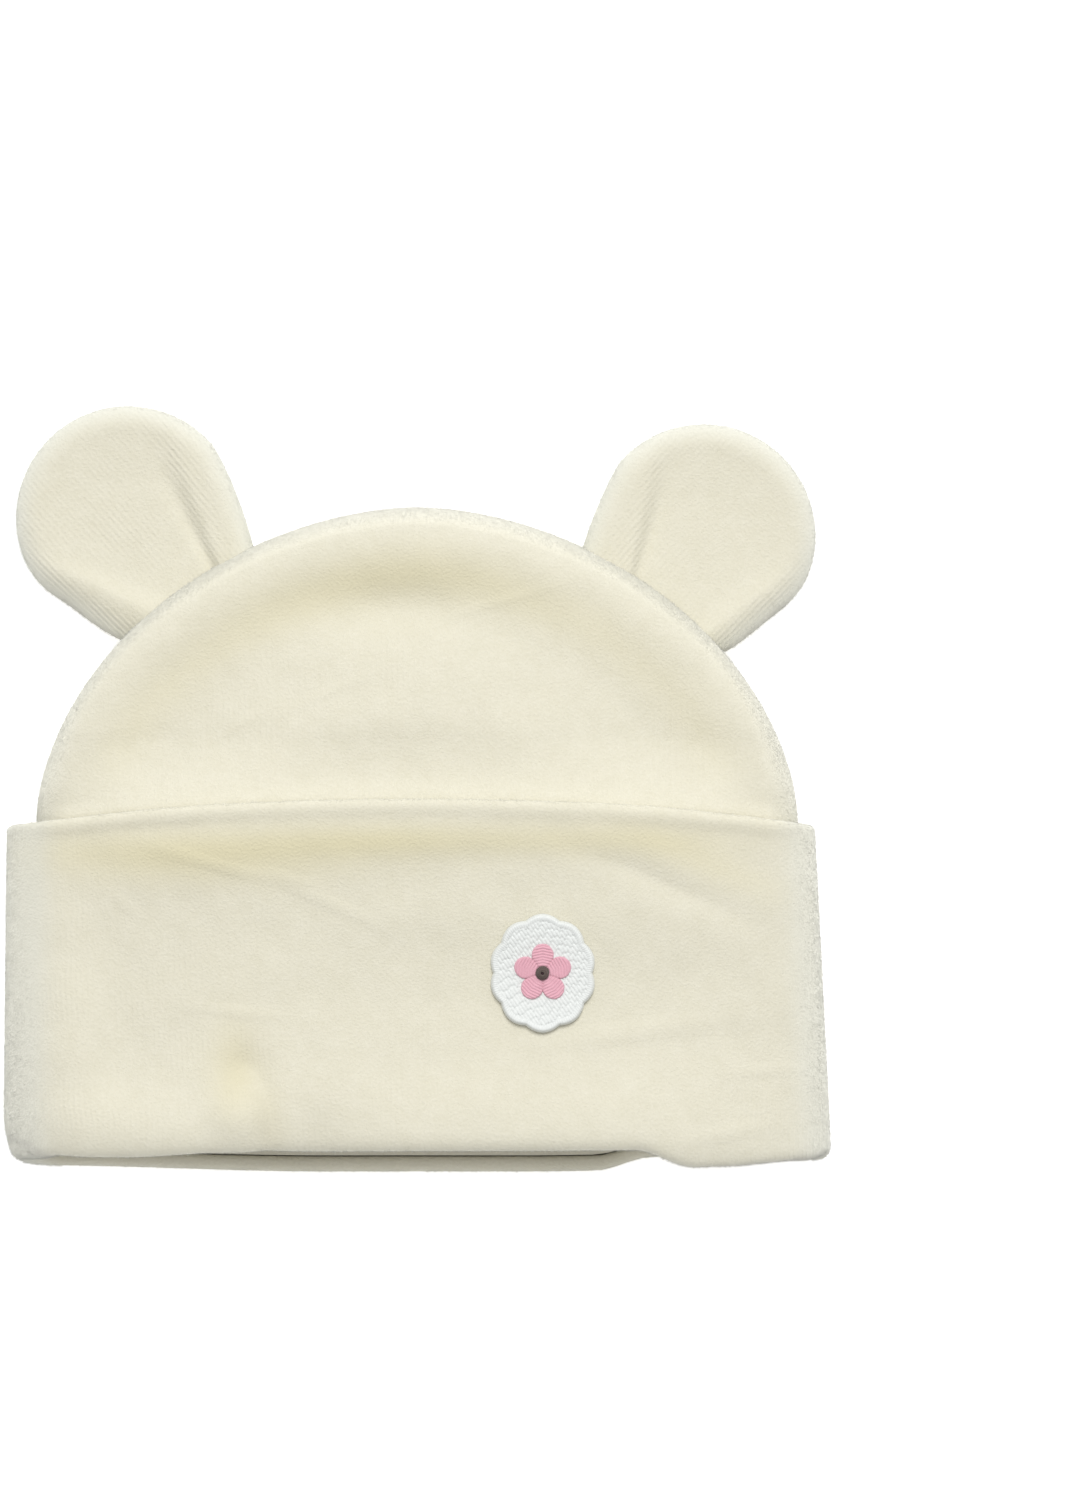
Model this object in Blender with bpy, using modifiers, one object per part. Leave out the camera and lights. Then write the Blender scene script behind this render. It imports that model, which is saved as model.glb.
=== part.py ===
"""Baby hat with two round ears, laid flat on its back.

A soft doubled-velour hat: the crown is one hollow sack open at the rim, a deep cuff is turned up round
it, two padded ears are sewn into the crown's side fold, and a small embroidered patch sits on the cuff.
Metres, +Z up from the surface the hat lies on, +Y from the rim towards the top of the crown, +X to the
right of the front. The origin is on the surface, under the middle of the hat's outline.
"""

import math

import bmesh
import bpy
import numpy as np

# Cloth and clearances
CLOTH = 0.0030
SEAT_GAP = 0.0003

# Hat laid flat, seen from above
CROWN_WIDTH = 0.1672
CROWN_RISE = 0.0675
CROWN_ROUNDNESS = 1.82
CUFF_HEIGHT = 0.0788
CUFF_SIDE_DROP = 0.0025
CUFF_ARCH = 0.0056
RIM_FLARE = 0.0024
RIM_DRIFT = 0.0016
RIM_STAGGER = 0.0040
SLACK_LEFT = 0.0032
SLACK_RIGHT = 0.0003
SLACK_WIDTH = 0.0140

# Hat laid flat, seen from the side
SEAM_HEIGHT = 0.0062
ROLL_RISE = 0.0070
ROLL_WIDTH = 0.0080
LOFT = 0.0120
LOFT_WIDTH = 0.0500
STEP_LENGTH = 0.0140
PUFF_CREST = 0.0090
PUFF_RISE = 0.0014
PUFF_VALLEY = 0.0190
PUFF_DIP = 0.0022
PUFF_SPREAD = 0.0058

# Fold under the rim: as deep as the cloth that turns round in it
FOLD_DEPTH = CLOTH + SEAT_GAP
FOOT_GAP = 0.0008

# Ears
EAR_WIDTH = 0.0493
EAR_BASE_WIDTH = 0.0352
EAR_NECK = 0.0195
EAR_THICKNESS = 0.0080
EAR_EDGE_WIDTH = 0.0055
EAR_DISH = 0.0026
EAR_DISH_WIDTH = 0.0085
EAR_RIDGE = 0.0022
EAR_TUCK = 0.0080

# Patch, set on the cuff at a share of half the crown's width and a share of the cuff's height
PATCH_WIDTH = 0.0232
PATCH_HEIGHT = 0.0258
PATCH_THICKNESS = 0.0014
PATCH_ACROSS = 0.33
PATCH_ALONG = 0.565
SCALLOP_DEPTH = 0.0008
SCALLOPS = 10
BLOSSOM_WIDTH = 0.0130
BLOSSOM_THICKNESS = 0.0007
PETALS = 5
KNOT_WIDTH = 0.0036
KNOT_THICKNESS = 0.0009

# Fineness of the faceted solids
ROUND_COUNT = 56
SLEEVE_ROWS = 12
RIM_CROWDING = 1.25
DOME_ROWS = 12
EAR_ROUND_COUNT = 28
EAR_ROWS = 12

# Swells and dents of the front face. Across is a share of half the crown's width, along is a share of
# the cuff below the shoulder line or of the crown above it, spreads are shares of half the crown's
# width, turn is in degrees, and height is a share of the loft.
SWELL_COLUMNS = ("name", "across", "along", "spread_x", "spread_y", "turn", "height")
SWELLS = (
    ("shoulder ridge", 0.00, 0.02, 0.90, 0.100, 0, 0.20),
    ("trough above the cuff", 0.05, 0.24, 0.62, 0.110, 0, -0.12),
    ("crown belly", 0.02, 0.46, 0.42, 0.140, 0, 0.10),
    ("trough under the cuff's edge", 0.00, -0.22, 0.80, 0.110, 0, -0.10),
    ("cuff belly", 0.15, -0.76, 0.75, 0.150, 0, 0.14),
    ("rim droop", 0.00, -1.00, 1.10, 0.075, 0, -0.38),
    ("pinch at the rim", -0.46, -0.80, 0.060, 0.085, 8, -0.26),
    ("lip beside the pinch", -0.56, -0.93, 0.090, 0.060, 0, 0.14),
    ("fold to the right corner", 0.66, -0.24, 0.230, 0.045, -24, -0.10),
)

# Ears: the seat as a share of half the crown's width, the neck as a share of the ears' neck, and the
# lean in degrees past the crown's own slope
EAR_COLUMNS = ("name", "side", "seat_share", "neck_share", "extra_lean")
EARS = (
    ("ear_left", -1, 0.607, 1.00, 8.0),
    ("ear_right", 1, 0.625, 0.81, 8.0),
)

# Finish of each piece: red, green, blue, roughness
VELOUR = (0.83, 0.79, 0.66, 0.95)
SATIN_THREAD = (0.88, 0.88, 0.85, 0.60)
PINK_THREAD = (0.82, 0.42, 0.50, 0.60)
BROWN_THREAD = (0.10, 0.07, 0.06, 0.60)


def rows_of(columns, table):
    """The table's rows as dictionaries, by column name."""
    return [dict(zip(columns, row)) for row in table]


def crown_outline_height(across):
    """Height above the shoulder line of the crown's outline, at that distance from its middle."""
    share = min(across / (CROWN_WIDTH / 2), 1)
    return CROWN_RISE * (1 - share**CROWN_ROUNDNESS) ** (1 / CROWN_ROUNDNESS)


def crown_outline_lean(across):
    """Angle from +Y of the outline's outward normal there."""
    half, power = CROWN_WIDTH / 2, CROWN_ROUNDNESS
    sideways = (across / half) ** (power - 1) / half
    upwards = (crown_outline_height(across) / CROWN_RISE) ** (power - 1) / CROWN_RISE
    return math.atan2(sideways, upwards)


def ear_seat(ear):
    """Where the ear is sewn on: its distance from the middle, and its height above the shoulder line."""
    across = ear["seat_share"] * CROWN_WIDTH / 2
    return across, crown_outline_height(across)


def ear_lean(ear):
    return crown_outline_lean(ear_seat(ear)[0]) + math.radians(ear["extra_lean"])


def ear_top(ear):
    """Height of the ear's top above the shoulder line: its lobe is a disc at the end of its neck."""
    neck = EAR_NECK * ear["neck_share"] * math.cos(ear_lean(ear))
    return ear_seat(ear)[1] + neck + EAR_WIDTH / 2


RIM_Y = -(CUFF_HEIGHT + max(ear_top(ear) for ear in rows_of(EAR_COLUMNS, EARS))) / 2
SHOULDER_Y = RIM_Y + CUFF_HEIGHT


def smooth(share):
    """0 below 0, 1 above 1, and an S-curve between."""
    share = np.clip(share, 0, 1)
    return share * share * (3 - 2 * share)


def quarter_round(distance, run):
    """The height of a quarter ellipse of unit rise, at a distance in from its edge."""
    share = np.clip(1 - distance / run, 0, 1)
    return np.sqrt(1 - share**2)


def centre_line(y):
    """X of the hat's middle: the rim lies a little to one side of the crown."""
    return RIM_DRIFT * (1 - np.clip((y - RIM_Y) / CUFF_HEIGHT, 0, 1))


def half_width(y):
    """Half the crown's width at y: straight sides inside the cuff, constant above the shoulder line."""
    return CROWN_WIDTH / 2 + RIM_FLARE * (1 - np.clip((y - RIM_Y) / CUFF_HEIGHT, 0, 1))


def edge_distance(x, y, grow=0.0):
    """Distance in from the crown's outline, to first order: (1 - F) / |grad F| of the superellipse F."""
    half, rise, power = half_width(y) + grow, CROWN_RISE + grow, CROWN_ROUNDNESS
    across = np.abs(x - centre_line(y)) / half
    up = np.clip(y - SHOULDER_Y, 0, None) / rise
    level = np.maximum((across**power + up**power) ** (1 / power), 1e-6)
    slope = level ** (1 - power) * np.hypot(across ** (power - 1) / half, up ** (power - 1) / rise)
    return np.clip((1 - level) / slope, 0, None)


def floor_height(y):
    """Height of the crown's back: it lies on the cuff's back, and on the surface past the cuff."""
    past_cuff = y - (SHOULDER_Y - CUFF_SIDE_DROP + CUFF_ARCH)
    return (CLOTH + SEAT_GAP) * (1 - smooth(past_cuff / STEP_LENGTH))


def swell(x, y):
    """Sum of the swells and dents, each a turned Gaussian, as a share of the loft."""
    total = np.zeros_like(x)
    half = CROWN_WIDTH / 2
    for row in rows_of(SWELL_COLUMNS, SWELLS):
        reach = CROWN_RISE if row["along"] > 0 else CUFF_HEIGHT
        dx = x - centre_line(y) - row["across"] * half
        dy = y - SHOULDER_Y - row["along"] * reach
        turn = math.radians(row["turn"])
        along = (dx * math.cos(turn) + dy * math.sin(turn)) / (row["spread_x"] * half)
        cross = (dy * math.cos(turn) - dx * math.sin(turn)) / (row["spread_y"] * half)
        total += row["height"] * np.exp(-(along**2) - cross**2)
    return total


def front_height(x, y, grow=0.0):
    """Height of the crown's front: side roll, loft towards the middle, puffed edge, swells and dents."""
    inside = edge_distance(x, y, grow)
    lift = 1 - np.clip(1 - inside / LOFT_WIDTH, 0, 1) ** 2
    crest = PUFF_RISE * np.exp(-(((inside - PUFF_CREST) / PUFF_SPREAD) ** 2))
    valley = PUFF_DIP * np.exp(-(((inside - PUFF_VALLEY) / PUFF_SPREAD) ** 2))
    puff = (crest * quarter_round(inside, ROLL_WIDTH) - valley) * smooth((y - SHOULDER_Y) / PUFF_VALLEY)
    roll = (ROLL_RISE + grow) * quarter_round(inside, ROLL_WIDTH)
    return floor_height(y) + SEAM_HEIGHT + roll + LOFT * lift * (1 + swell(x, y)) + puff


def back_height(x, y, grow=0.0):
    """Height of the crown's back face: it turns under from the side fold and lies flat."""
    under = (SEAM_HEIGHT + grow) * quarter_round(edge_distance(x, y, grow), ROLL_WIDTH)
    return floor_height(y) + SEAM_HEIGHT - under


def sack_points(turns, y, half, grow=0.0):
    """Points on loops round the sack: turn 0 is the right side fold, a quarter turn the front's middle."""
    x = centre_line(y) + half * np.cos(turns)
    front = np.sin(turns) >= 0
    z = np.where(front, front_height(x, y, grow), back_height(x, y, grow))
    return np.stack(np.broadcast_arrays(x, y, z), axis=-1)


def loop_turns(count):
    return np.arange(count) * math.tau / count


def sleeve_y(turns, share):
    """Y of a loop inside the cuff: share 0 is the rim's end, which the front staggers back from, and
    share 1 the cuff's top edge, which arches up between the side folds."""
    rim = RIM_Y + RIM_STAGGER / 2 * (1 + np.sin(turns))
    top = SHOULDER_Y - CUFF_SIDE_DROP + CUFF_ARCH * np.abs(np.sin(turns)) ** 1.5
    return rim + (top - rim) * share


def sleeve_shares():
    """Shares of the sleeve's rows, from the crown's end by the rim's fold to the cuff's top edge, closer
    together at the rim, where the front droops."""
    first, last = (FOLD_DEPTH + FOOT_GAP) / CUFF_HEIGHT, 1 - CLOTH / 2 / CUFF_HEIGHT
    return first + (last - first) * np.linspace(0, 1, SLEEVE_ROWS) ** RIM_CROWDING


def crown_rows(grow=0.0):
    """Loops of the crown's outer surface from its end inside the rim's fold to near its top."""
    turns = loop_turns(ROUND_COUNT)
    rows = []
    for share in sleeve_shares():
        y = sleeve_y(turns, share)
        rows.append(sack_points(turns, y, half_width(y) + grow, grow))
    top_lift = sleeve_y(turns, 1) - SHOULDER_Y
    for step in range(1, DOME_ROWS):
        climb = math.pi / 2 * step / DOME_ROWS
        rise = (CROWN_RISE + grow) * math.sin(climb) ** (2 / CROWN_ROUNDNESS)
        half = (CROWN_WIDTH / 2 + grow) * math.cos(climb) ** (2 / CROWN_ROUNDNESS)
        y = SHOULDER_Y + rise + top_lift * (1 - step / DOME_ROWS) ** 2
        share = np.clip((y - SHOULDER_Y) / (CROWN_RISE + grow), 0, 1)
        outline = (CROWN_WIDTH / 2 + grow) * (1 - share**CROWN_ROUNDNESS) ** (1 / CROWN_ROUNDNESS)
        rows.append(sack_points(turns, y, np.minimum(half, outline), grow))
    return rows


def crown_tip(grow=0.0):
    return (0, SHOULDER_Y + CROWN_RISE + grow, SEAM_HEIGHT)


def mesh_from(name, points, faces):
    mesh = bpy.data.meshes.new(name)
    mesh.from_pydata([tuple(point) for point in points], [], faces)
    mesh.validate()
    mesh.update()
    return mesh


def loft_mesh(name, rows, tip=None, cap_start=False, close=False):
    """Quads between like loops of points. A tip closes the last loop to a point, cap_start fills the
    first, and close joins the last loop to the first."""
    count = len(rows[0])
    points = [point for row in rows for point in row]
    pairs = [(r, r + 1) for r in range(len(rows) - 1)] + ([(len(rows) - 1, 0)] if close else [])
    faces = [
        (a * count + c, a * count + (c + 1) % count, b * count + (c + 1) % count, b * count + c)
        for a, b in pairs
        for c in range(count)
    ]
    if tip is not None:
        last = (len(rows) - 1) * count
        faces += [(last + c, last + (c + 1) % count, len(points)) for c in range(count)]
        points.append(tip)
    if cap_start:
        faces.append(tuple(reversed(range(count))))
    return mesh_from(name, points, faces)


def face_outwards(mesh):
    shape = bmesh.new()
    shape.from_mesh(mesh)
    bmesh.ops.recalc_face_normals(shape, faces=shape.faces)
    shape.to_mesh(mesh)
    shape.free()


def material(name, finish):
    made = bpy.data.materials.new(name)
    made.use_nodes = True
    shader = made.node_tree.nodes["Principled BSDF"]
    shader.inputs["Base Color"].default_value = (*finish[:3], 1)
    shader.inputs["Roughness"].default_value = finish[3]
    shader.inputs["Metallic"].default_value = 0
    return made


def add_object(name, mesh, collection, finish=None):
    mesh.shade_smooth()
    mesh.set_sharp_from_angle(angle=math.radians(50))
    made = bpy.data.objects.new(name, mesh)
    collection.objects.link(made)
    if finish:
        mesh.materials.append(finish)
    return made


def make_crown(collection, finish):
    """The sack: one open surface with its wall laid inwards."""
    mesh = loft_mesh("crown", crown_rows(), crown_tip())
    face_outwards(mesh)
    crown = add_object("crown", mesh, collection, finish)
    wall = crown.modifiers.new("Wall", "SOLIDIFY")
    wall.thickness = CLOTH
    wall.offset = -1
    wall.use_even_offset = True
    return crown


def make_crown_clearance(collection):
    """A closed cutter, one seat gap larger than the crown all round."""
    mesh = loft_mesh("crown_clearance", crown_rows(SEAT_GAP), crown_tip(SEAT_GAP), cap_start=True)
    face_outwards(mesh)
    cutter = add_object("crown_clearance", mesh, collection)
    cutter.hide_render = True
    cutter.display_type = "WIRE"
    return cutter


def sleeve_point(turns, share, offset):
    """Points at a distance out from the sleeve's surface, along its normal by central differences."""
    step_turn, step_share = 1e-3, 1e-3

    def surface(turn, place):
        y = sleeve_y(turn, place)
        return sack_points(turn, y, half_width(y))

    round_it = surface(turns + step_turn, share) - surface(turns - step_turn, share)
    along_it = surface(turns, share + step_share) - surface(turns, share - step_share)
    normal = np.cross(along_it, round_it)
    return surface(turns, share) + normal * offset / np.linalg.norm(normal, axis=-1, keepdims=True)


def make_cuff(collection, finish):
    """The turned-up band, as a hook-shaped section carried round the sleeve: its outer wall stands off
    the crown, its top edge is rounded, and its foot folds under the crown's end."""
    turns = loop_turns(ROUND_COUNT)
    foot = FOLD_DEPTH / CUFF_HEIGHT
    shares = sleeve_shares()
    y = sleeve_y(turns, 0.5)
    inside = edge_distance(centre_line(y) + half_width(y) * np.cos(turns), y)
    sideways = np.where(np.cos(turns) > 0, SLACK_RIGHT, -SLACK_LEFT)
    sideways = sideways * np.clip(1 - inside / SLACK_WIDTH, 0, 1) ** 2
    inner, outer = SEAT_GAP, SEAT_GAP + CLOTH
    rows = [sleeve_point(turns, share, inner) for share in (foot, *shares)]
    for angle in np.radians([144, 108, 72, 36]):
        rise = CLOTH / 2 * math.sin(angle) / CUFF_HEIGHT
        offset = inner + CLOTH / 2 * (1 + math.cos(angle))
        rows.append(sleeve_point(turns, shares[-1] + rise, offset))
    rows += [sleeve_point(turns, share, outer) for share in (*reversed(shares), foot)]
    middle, reach = (outer - CLOTH) / 2, (outer + CLOTH) / 2
    for angle in np.radians([30, 60, 90, 120, 150]):
        drop = FOLD_DEPTH * math.sin(angle) / CUFF_HEIGHT
        rows.append(sleeve_point(turns, foot - drop, middle + reach * math.cos(angle)))
    for row in rows:
        row[:, 0] += sideways
    rows.append(sleeve_point(turns, foot, -CLOTH))
    mesh = loft_mesh("cuff", rows, close=True)
    face_outwards(mesh)
    return add_object("cuff", mesh, collection, finish)


def ear_half_width(along, neck):
    """Half the ear's width: it swells from the base along the neck, then closes as a disc."""
    base, lobe = EAR_BASE_WIDTH / 2, EAR_WIDTH / 2
    if along < neck:
        return base + (lobe - base) * (1 - (1 - max(along / neck, 0)) ** 1.5)
    return math.sqrt(max(lobe**2 - (along - neck) ** 2, 0))


def ear_loop(along, neck):
    """One loop round the ear at a distance out from the seam: rounded edges, a dished front with a
    raised rim, and two soft ridges that run out from the pinched base."""
    turns = loop_turns(EAR_ROUND_COUNT)
    length, half = neck + EAR_WIDTH / 2, ear_half_width(along, neck)
    across = half * np.cos(turns)
    inside = np.where(along < neck, half - np.abs(across), EAR_WIDTH / 2 - np.hypot(across, along - neck))
    body = EAR_THICKNESS / 2 * quarter_round(inside, EAR_EDGE_WIDTH)
    share = min(max(along / length, 0), 1)
    middle = EAR_THICKNESS / 2 + max(SEAM_HEIGHT - EAR_THICKNESS / 2, 0) * (1 - share) ** 2
    dish = EAR_DISH * smooth((inside - EAR_EDGE_WIDTH) / EAR_DISH_WIDTH) * smooth(along / neck)
    ridge_place = EAR_BASE_WIDTH / 4 * (1 + share)
    ridge = EAR_RIDGE * np.exp(-(((np.abs(across) - ridge_place) / (EAR_BASE_WIDTH / 8)) ** 2))
    ridge *= quarter_round(inside, EAR_EDGE_WIDTH) * (1 - smooth(share))
    height = np.where(np.sin(turns) >= 0, middle + body - dish + ridge, middle - body)
    return np.stack([across, np.full_like(across, along), height], axis=-1)


def make_ear(ear, cutter, collection, finish):
    """A padded ear, modelled pointing along +Y from its seat, set on the crown's side and cut to it."""
    neck, lobe = EAR_NECK * ear["neck_share"], EAR_WIDTH / 2
    necks = np.linspace(-EAR_TUCK, neck, EAR_ROWS // 2, endpoint=False)
    climbs = np.linspace(0, math.pi / 2, EAR_ROWS - EAR_ROWS // 2, endpoint=False)
    rows = [ear_loop(along, neck) for along in (*necks, *(neck + lobe * np.sin(climbs)))]
    mesh = loft_mesh(ear["name"], rows, (0, neck + lobe, EAR_THICKNESS / 2), cap_start=True)
    face_outwards(mesh)
    made = add_object(ear["name"], mesh, collection, finish)
    across, up = ear_seat(ear)
    made.location = (ear["side"] * across, SHOULDER_Y + up, 0)
    made.rotation_euler = (0, 0, -ear["side"] * ear_lean(ear))
    cut = made.modifiers.new("Seat on the crown", "BOOLEAN")
    cut.operation = "DIFFERENCE"
    cut.solver = "EXACT"
    cut.object = cutter
    return made


def cuff_face(x, y):
    """Height of the cuff's front face: the sleeve's front with the cuff's cloth on it."""
    step = 1e-4
    slope_x = (front_height(x + step, y) - front_height(x - step, y)) / (2 * step)
    slope_y = (front_height(x, y + step) - front_height(x, y - step)) / (2 * step)
    stretch = np.sqrt(1 + slope_x**2 + slope_y**2)
    return front_height(x, y) + (SEAT_GAP + CLOTH) * stretch


def add_badge(name, outline, lift, thickness, rings, collection, finish):
    """A thin soft-edged plate that follows the cuff's face. The outline gives its reach at each turn,
    and lift is the height of its underside above the face."""
    turns = loop_turns(len(outline))
    centre_x = PATCH_ACROSS * CROWN_WIDTH / 2
    centre_y = RIM_Y + PATCH_ALONG * CUFF_HEIGHT

    def ring(share, height):
        x = centre_x + outline * share * np.cos(turns)
        y = centre_y + outline * share * np.sin(turns)
        return np.stack([x, y, cuff_face(x, y) + lift + height], axis=-1)

    rows = [ring(share, 0) for share in np.linspace(1 / rings, 0.96, rings)]
    rows.append(ring(1, thickness / 2))
    rows += [ring(share, thickness) for share in np.linspace(0.94, 1 / rings, rings)]
    middle_z = cuff_face(np.array(centre_x), np.array(centre_y)) + lift
    mesh = loft_mesh(name, rows, (centre_x, centre_y, middle_z + thickness))
    shape = bmesh.new()
    shape.from_mesh(mesh)
    first_ring = list(shape.verts)[: len(outline)]
    low = shape.verts.new((centre_x, centre_y, middle_z))
    for here, following in zip(first_ring, first_ring[1:] + first_ring[:1]):
        shape.faces.new((following, here, low))
    bmesh.ops.recalc_face_normals(shape, faces=shape.faces)
    shape.to_mesh(mesh)
    shape.free()
    add_object(name, mesh, collection, finish)


def make_patch(collection, white, pink, brown):
    """A scalloped white ground with a five-petalled blossom and its knot raised on it."""
    turns = loop_turns(6 * SCALLOPS)
    oval = 1 / np.hypot(np.cos(turns) / (PATCH_WIDTH / 2), np.sin(turns) / (PATCH_HEIGHT / 2))
    scalloped = oval - SCALLOP_DEPTH * (1 - np.abs(np.sin(SCALLOPS / 2 * turns)))
    add_badge("patch_backing", scalloped, SEAT_GAP, PATCH_THICKNESS, 4, collection, white)
    petal_turns = loop_turns(10 * PETALS)
    lobes = 0.60 + 0.40 * np.abs(np.sin(PETALS / 2 * petal_turns + math.pi / 4)) ** 0.7
    level = 2 * SEAT_GAP + PATCH_THICKNESS
    add_badge("patch_blossom", BLOSSOM_WIDTH / 2 * lobes, level, BLOSSOM_THICKNESS, 3, collection, pink)
    level += SEAT_GAP + BLOSSOM_THICKNESS
    add_badge("patch_centre", np.full(16, KNOT_WIDTH / 2), level, KNOT_THICKNESS, 2, collection, brown)


def main():
    for old in list(bpy.data.objects):
        bpy.data.objects.remove(old)
    hat = bpy.data.collections.new("Baby hat with ears")
    cutters = bpy.data.collections.new("Cutters")
    bpy.context.scene.collection.children.link(hat)
    bpy.context.scene.collection.children.link(cutters)
    velour = material("velour", VELOUR)
    make_crown(hat, velour)
    make_cuff(hat, velour)
    cutter = make_crown_clearance(cutters)
    for ear in rows_of(EAR_COLUMNS, EARS):
        make_ear(ear, cutter, hat, velour)
    make_patch(
        hat,
        material("white_thread", SATIN_THREAD),
        material("pink_thread", PINK_THREAD),
        material("brown_thread", BROWN_THREAD),
    )


main()
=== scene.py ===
"""Baby hat with round ears, laid flat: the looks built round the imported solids."""

import math

import bpy
import numpy as np
from bpy.props import FloatProperty, FloatVectorProperty, IntProperty, PointerProperty
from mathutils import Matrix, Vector


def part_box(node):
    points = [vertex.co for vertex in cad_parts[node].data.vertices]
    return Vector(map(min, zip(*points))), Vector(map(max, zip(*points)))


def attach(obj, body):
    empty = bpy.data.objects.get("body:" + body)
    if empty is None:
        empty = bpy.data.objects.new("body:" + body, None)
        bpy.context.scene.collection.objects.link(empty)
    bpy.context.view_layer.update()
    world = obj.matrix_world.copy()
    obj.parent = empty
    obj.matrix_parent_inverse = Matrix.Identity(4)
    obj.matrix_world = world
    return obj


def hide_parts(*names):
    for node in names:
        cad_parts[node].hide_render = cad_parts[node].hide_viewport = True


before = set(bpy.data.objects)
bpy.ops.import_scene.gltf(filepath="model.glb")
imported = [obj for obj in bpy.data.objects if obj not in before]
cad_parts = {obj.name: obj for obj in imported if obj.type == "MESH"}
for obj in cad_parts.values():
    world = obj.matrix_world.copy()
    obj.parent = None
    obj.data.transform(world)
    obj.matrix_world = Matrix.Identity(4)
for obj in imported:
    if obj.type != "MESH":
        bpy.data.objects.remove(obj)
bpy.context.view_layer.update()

bl_info = {
    "name": "Baby hat with ears",
    "version": (1, 0, 0),
    "blender": (4, 5, 0),
    "location": "View3D > Sidebar > Hat",
    "description": "Velour crown, turned-up cuff, padded ears and embroidered patch of a baby hat",
    "category": "Object",
}

CROWN_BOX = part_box("crown")

# Folds of the cloth are turned Gaussians. Across is a share of half the crown's width, along a share of
# the cuff below the shoulder line or of the crown above it, and turn is in degrees. Length and width are
# how far the fold fades along its line and across it.
FOLD_COLUMNS = ("name", "across", "along", "turn", "length", "width", "height")

# Swells of the front face, like those of the solids and tuned to the cloth's shading: lengths and
# widths are shares of half the crown's width, heights are shares of the loft.
SWELLS = (
    ("hollow below the shoulder", 0.12, -0.19, 0, 0.84, 0.083, -0.09),
    ("trough above the cuff", 0.14, 0.114, 0, 1.20, 0.079, -0.17),
    ("crown belly", -0.14, 0.494, 0, 0.35, 0.156, 0.05),
    ("hollow behind the crown's top", -0.08, 0.693, 0, 0.24, 0.076, -0.30),
    ("right of the crown's valley", 0.475, 0.467, -25, 0.112, 0.078, 0.05),
    ("left of the crown's valley", -0.58, 0.527, 25, 0.40, 0.072, -0.12),
    ("trough under the cuff's edge", -0.50, -0.269, 0, 0.55, 0.131, -0.145),
    ("its shallower right end", 0.06, -0.110, 0, 0.56, 0.055, -0.075),
    ("long slope under the trough", -0.06, -0.443, 0, 1.27, 0.171, -0.155),
    ("cuff belly", 0.22, -0.925, 0, 1.33, 0.197, 0.52),
    ("left of the belly", -0.855, -0.889, 0, 0.234, 0.113, 0.52),
    ("fuller left side", -1.0, -0.74, 0, 0.14, 0.36, 2.0),
    ("under the cuff's edge on the left", -0.72, -0.080, 0, 0.22, 0.042, 0.06),
    ("rim droop", -0.12, -0.990, 0, 0.78, 0.047, -0.34),
    ("rim sagging by the pinch", -0.27, -0.98, 0, 0.150, 0.140, -0.26),
    ("pinch at the rim", -0.46, -0.70, 8, 0.052, 0.055, -0.12),
    ("lip beside the pinch", -0.468, -0.835, 0, 0.070, 0.055, 0.155),
    ("fold to the right corner", 0.68, -0.21, -24, 0.240, 0.040, -0.09),
)

# Painted warm shade: where folds lie in shade, their colour is made darker and yellower, standing in for the light
# bounced in the cloth. Lengths and widths as for the swells, heights are shares of the way to that colour.
PAINTED_WARM_SHADE_SPOTS = (
    ("left of the cuff's trough", -0.60, -0.100, 0, 0.42, 0.056, 0.75),
    ("middle of the cuff's trough", -0.08, -0.070, 0, 0.34, 0.045, 0.75),
    ("right of the cuff's trough", 0.48, -0.068, 0, 0.34, 0.045, 0.60),
    ("fold to the right corner", 0.74, -0.125, -22, 0.20, 0.045, 0.40),
    ("under the trough on the left", -0.55, -0.150, 0, 0.40, 0.060, 0.30),
    ("pinch at the rim", -0.468, -0.700, 0, 0.060, 0.110, 0.70),
    ("beside the pinch", -0.38, -0.850, 0, 0.040, 0.100, 0.30),
)

# Creases finer than the solids hold: lengths, widths and heights are metres.
CUFF_CREASES = (
    ("long crease from the left", -0.53, -0.125, -16, 0.0120, 0.0010, 0.00030),
    ("its lower end", -0.22, -0.245, -24, 0.0100, 0.0010, 0.00028),
    ("crease between them", -0.33, -0.170, -20, 0.0070, 0.0009, 0.00020),
    ("short crease by the left", -0.75, -0.250, -40, 0.0050, 0.0009, 0.00014),
    ("crease above the pinch", -0.46, -0.549, -7, 0.0090, 0.0010, 0.00026),
    ("soft ridge under the patch", 0.55, -0.607, 8.5, 0.0190, 0.0020, 0.00040),
    ("upright crease by the pinch", -0.386, -0.830, 96, 0.0095, 0.0034, -0.00125),
    ("tuck by the right corner", 0.80, -0.880, 10, 0.0085, 0.0012, 0.00030),
    ("fold line at the left corner", -1.000, -0.925, -24, 0.0060, 0.0010, -0.00090),
    ("hem under the fold line", -0.999, -0.958, -5, 0.0062, 0.0013, 0.00080),
    ("faint ridge by the right side", 0.90, -0.712, 4, 0.0070, 0.0010, 0.00022),
)
CROWN_CREASES = (
    ("slanting crease", -0.24, 0.390, 24, 0.0100, 0.0010, 0.00020),
    ("faint crease to the right", 0.22, 0.690, 16, 0.0120, 0.0011, 0.00018),
    ("lower slanting crease", -0.45, 0.300, 30, 0.0070, 0.0011, 0.00016),
    ("pucker by the cuff on the right", 0.62, 0.130, 62, 0.0060, 0.0012, 0.00020),
)

# Painted shade where a fold closes on itself, by the dark shade colour: lengths and widths are metres, heights
# are shares of the way to that colour.
PAINTED_SHADE_LINES = (
    ("upright crease by the pinch", -0.380, -0.870, 96, 0.0065, 0.0032, 0.15),
    ("fold line at the left corner", -1.000, -0.925, -24, 0.0070, 0.0009, 0.42),
    ("hollow of the pinch", -0.468, -0.690, 84, 0.0100, 0.0052, 0.10),
)

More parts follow.
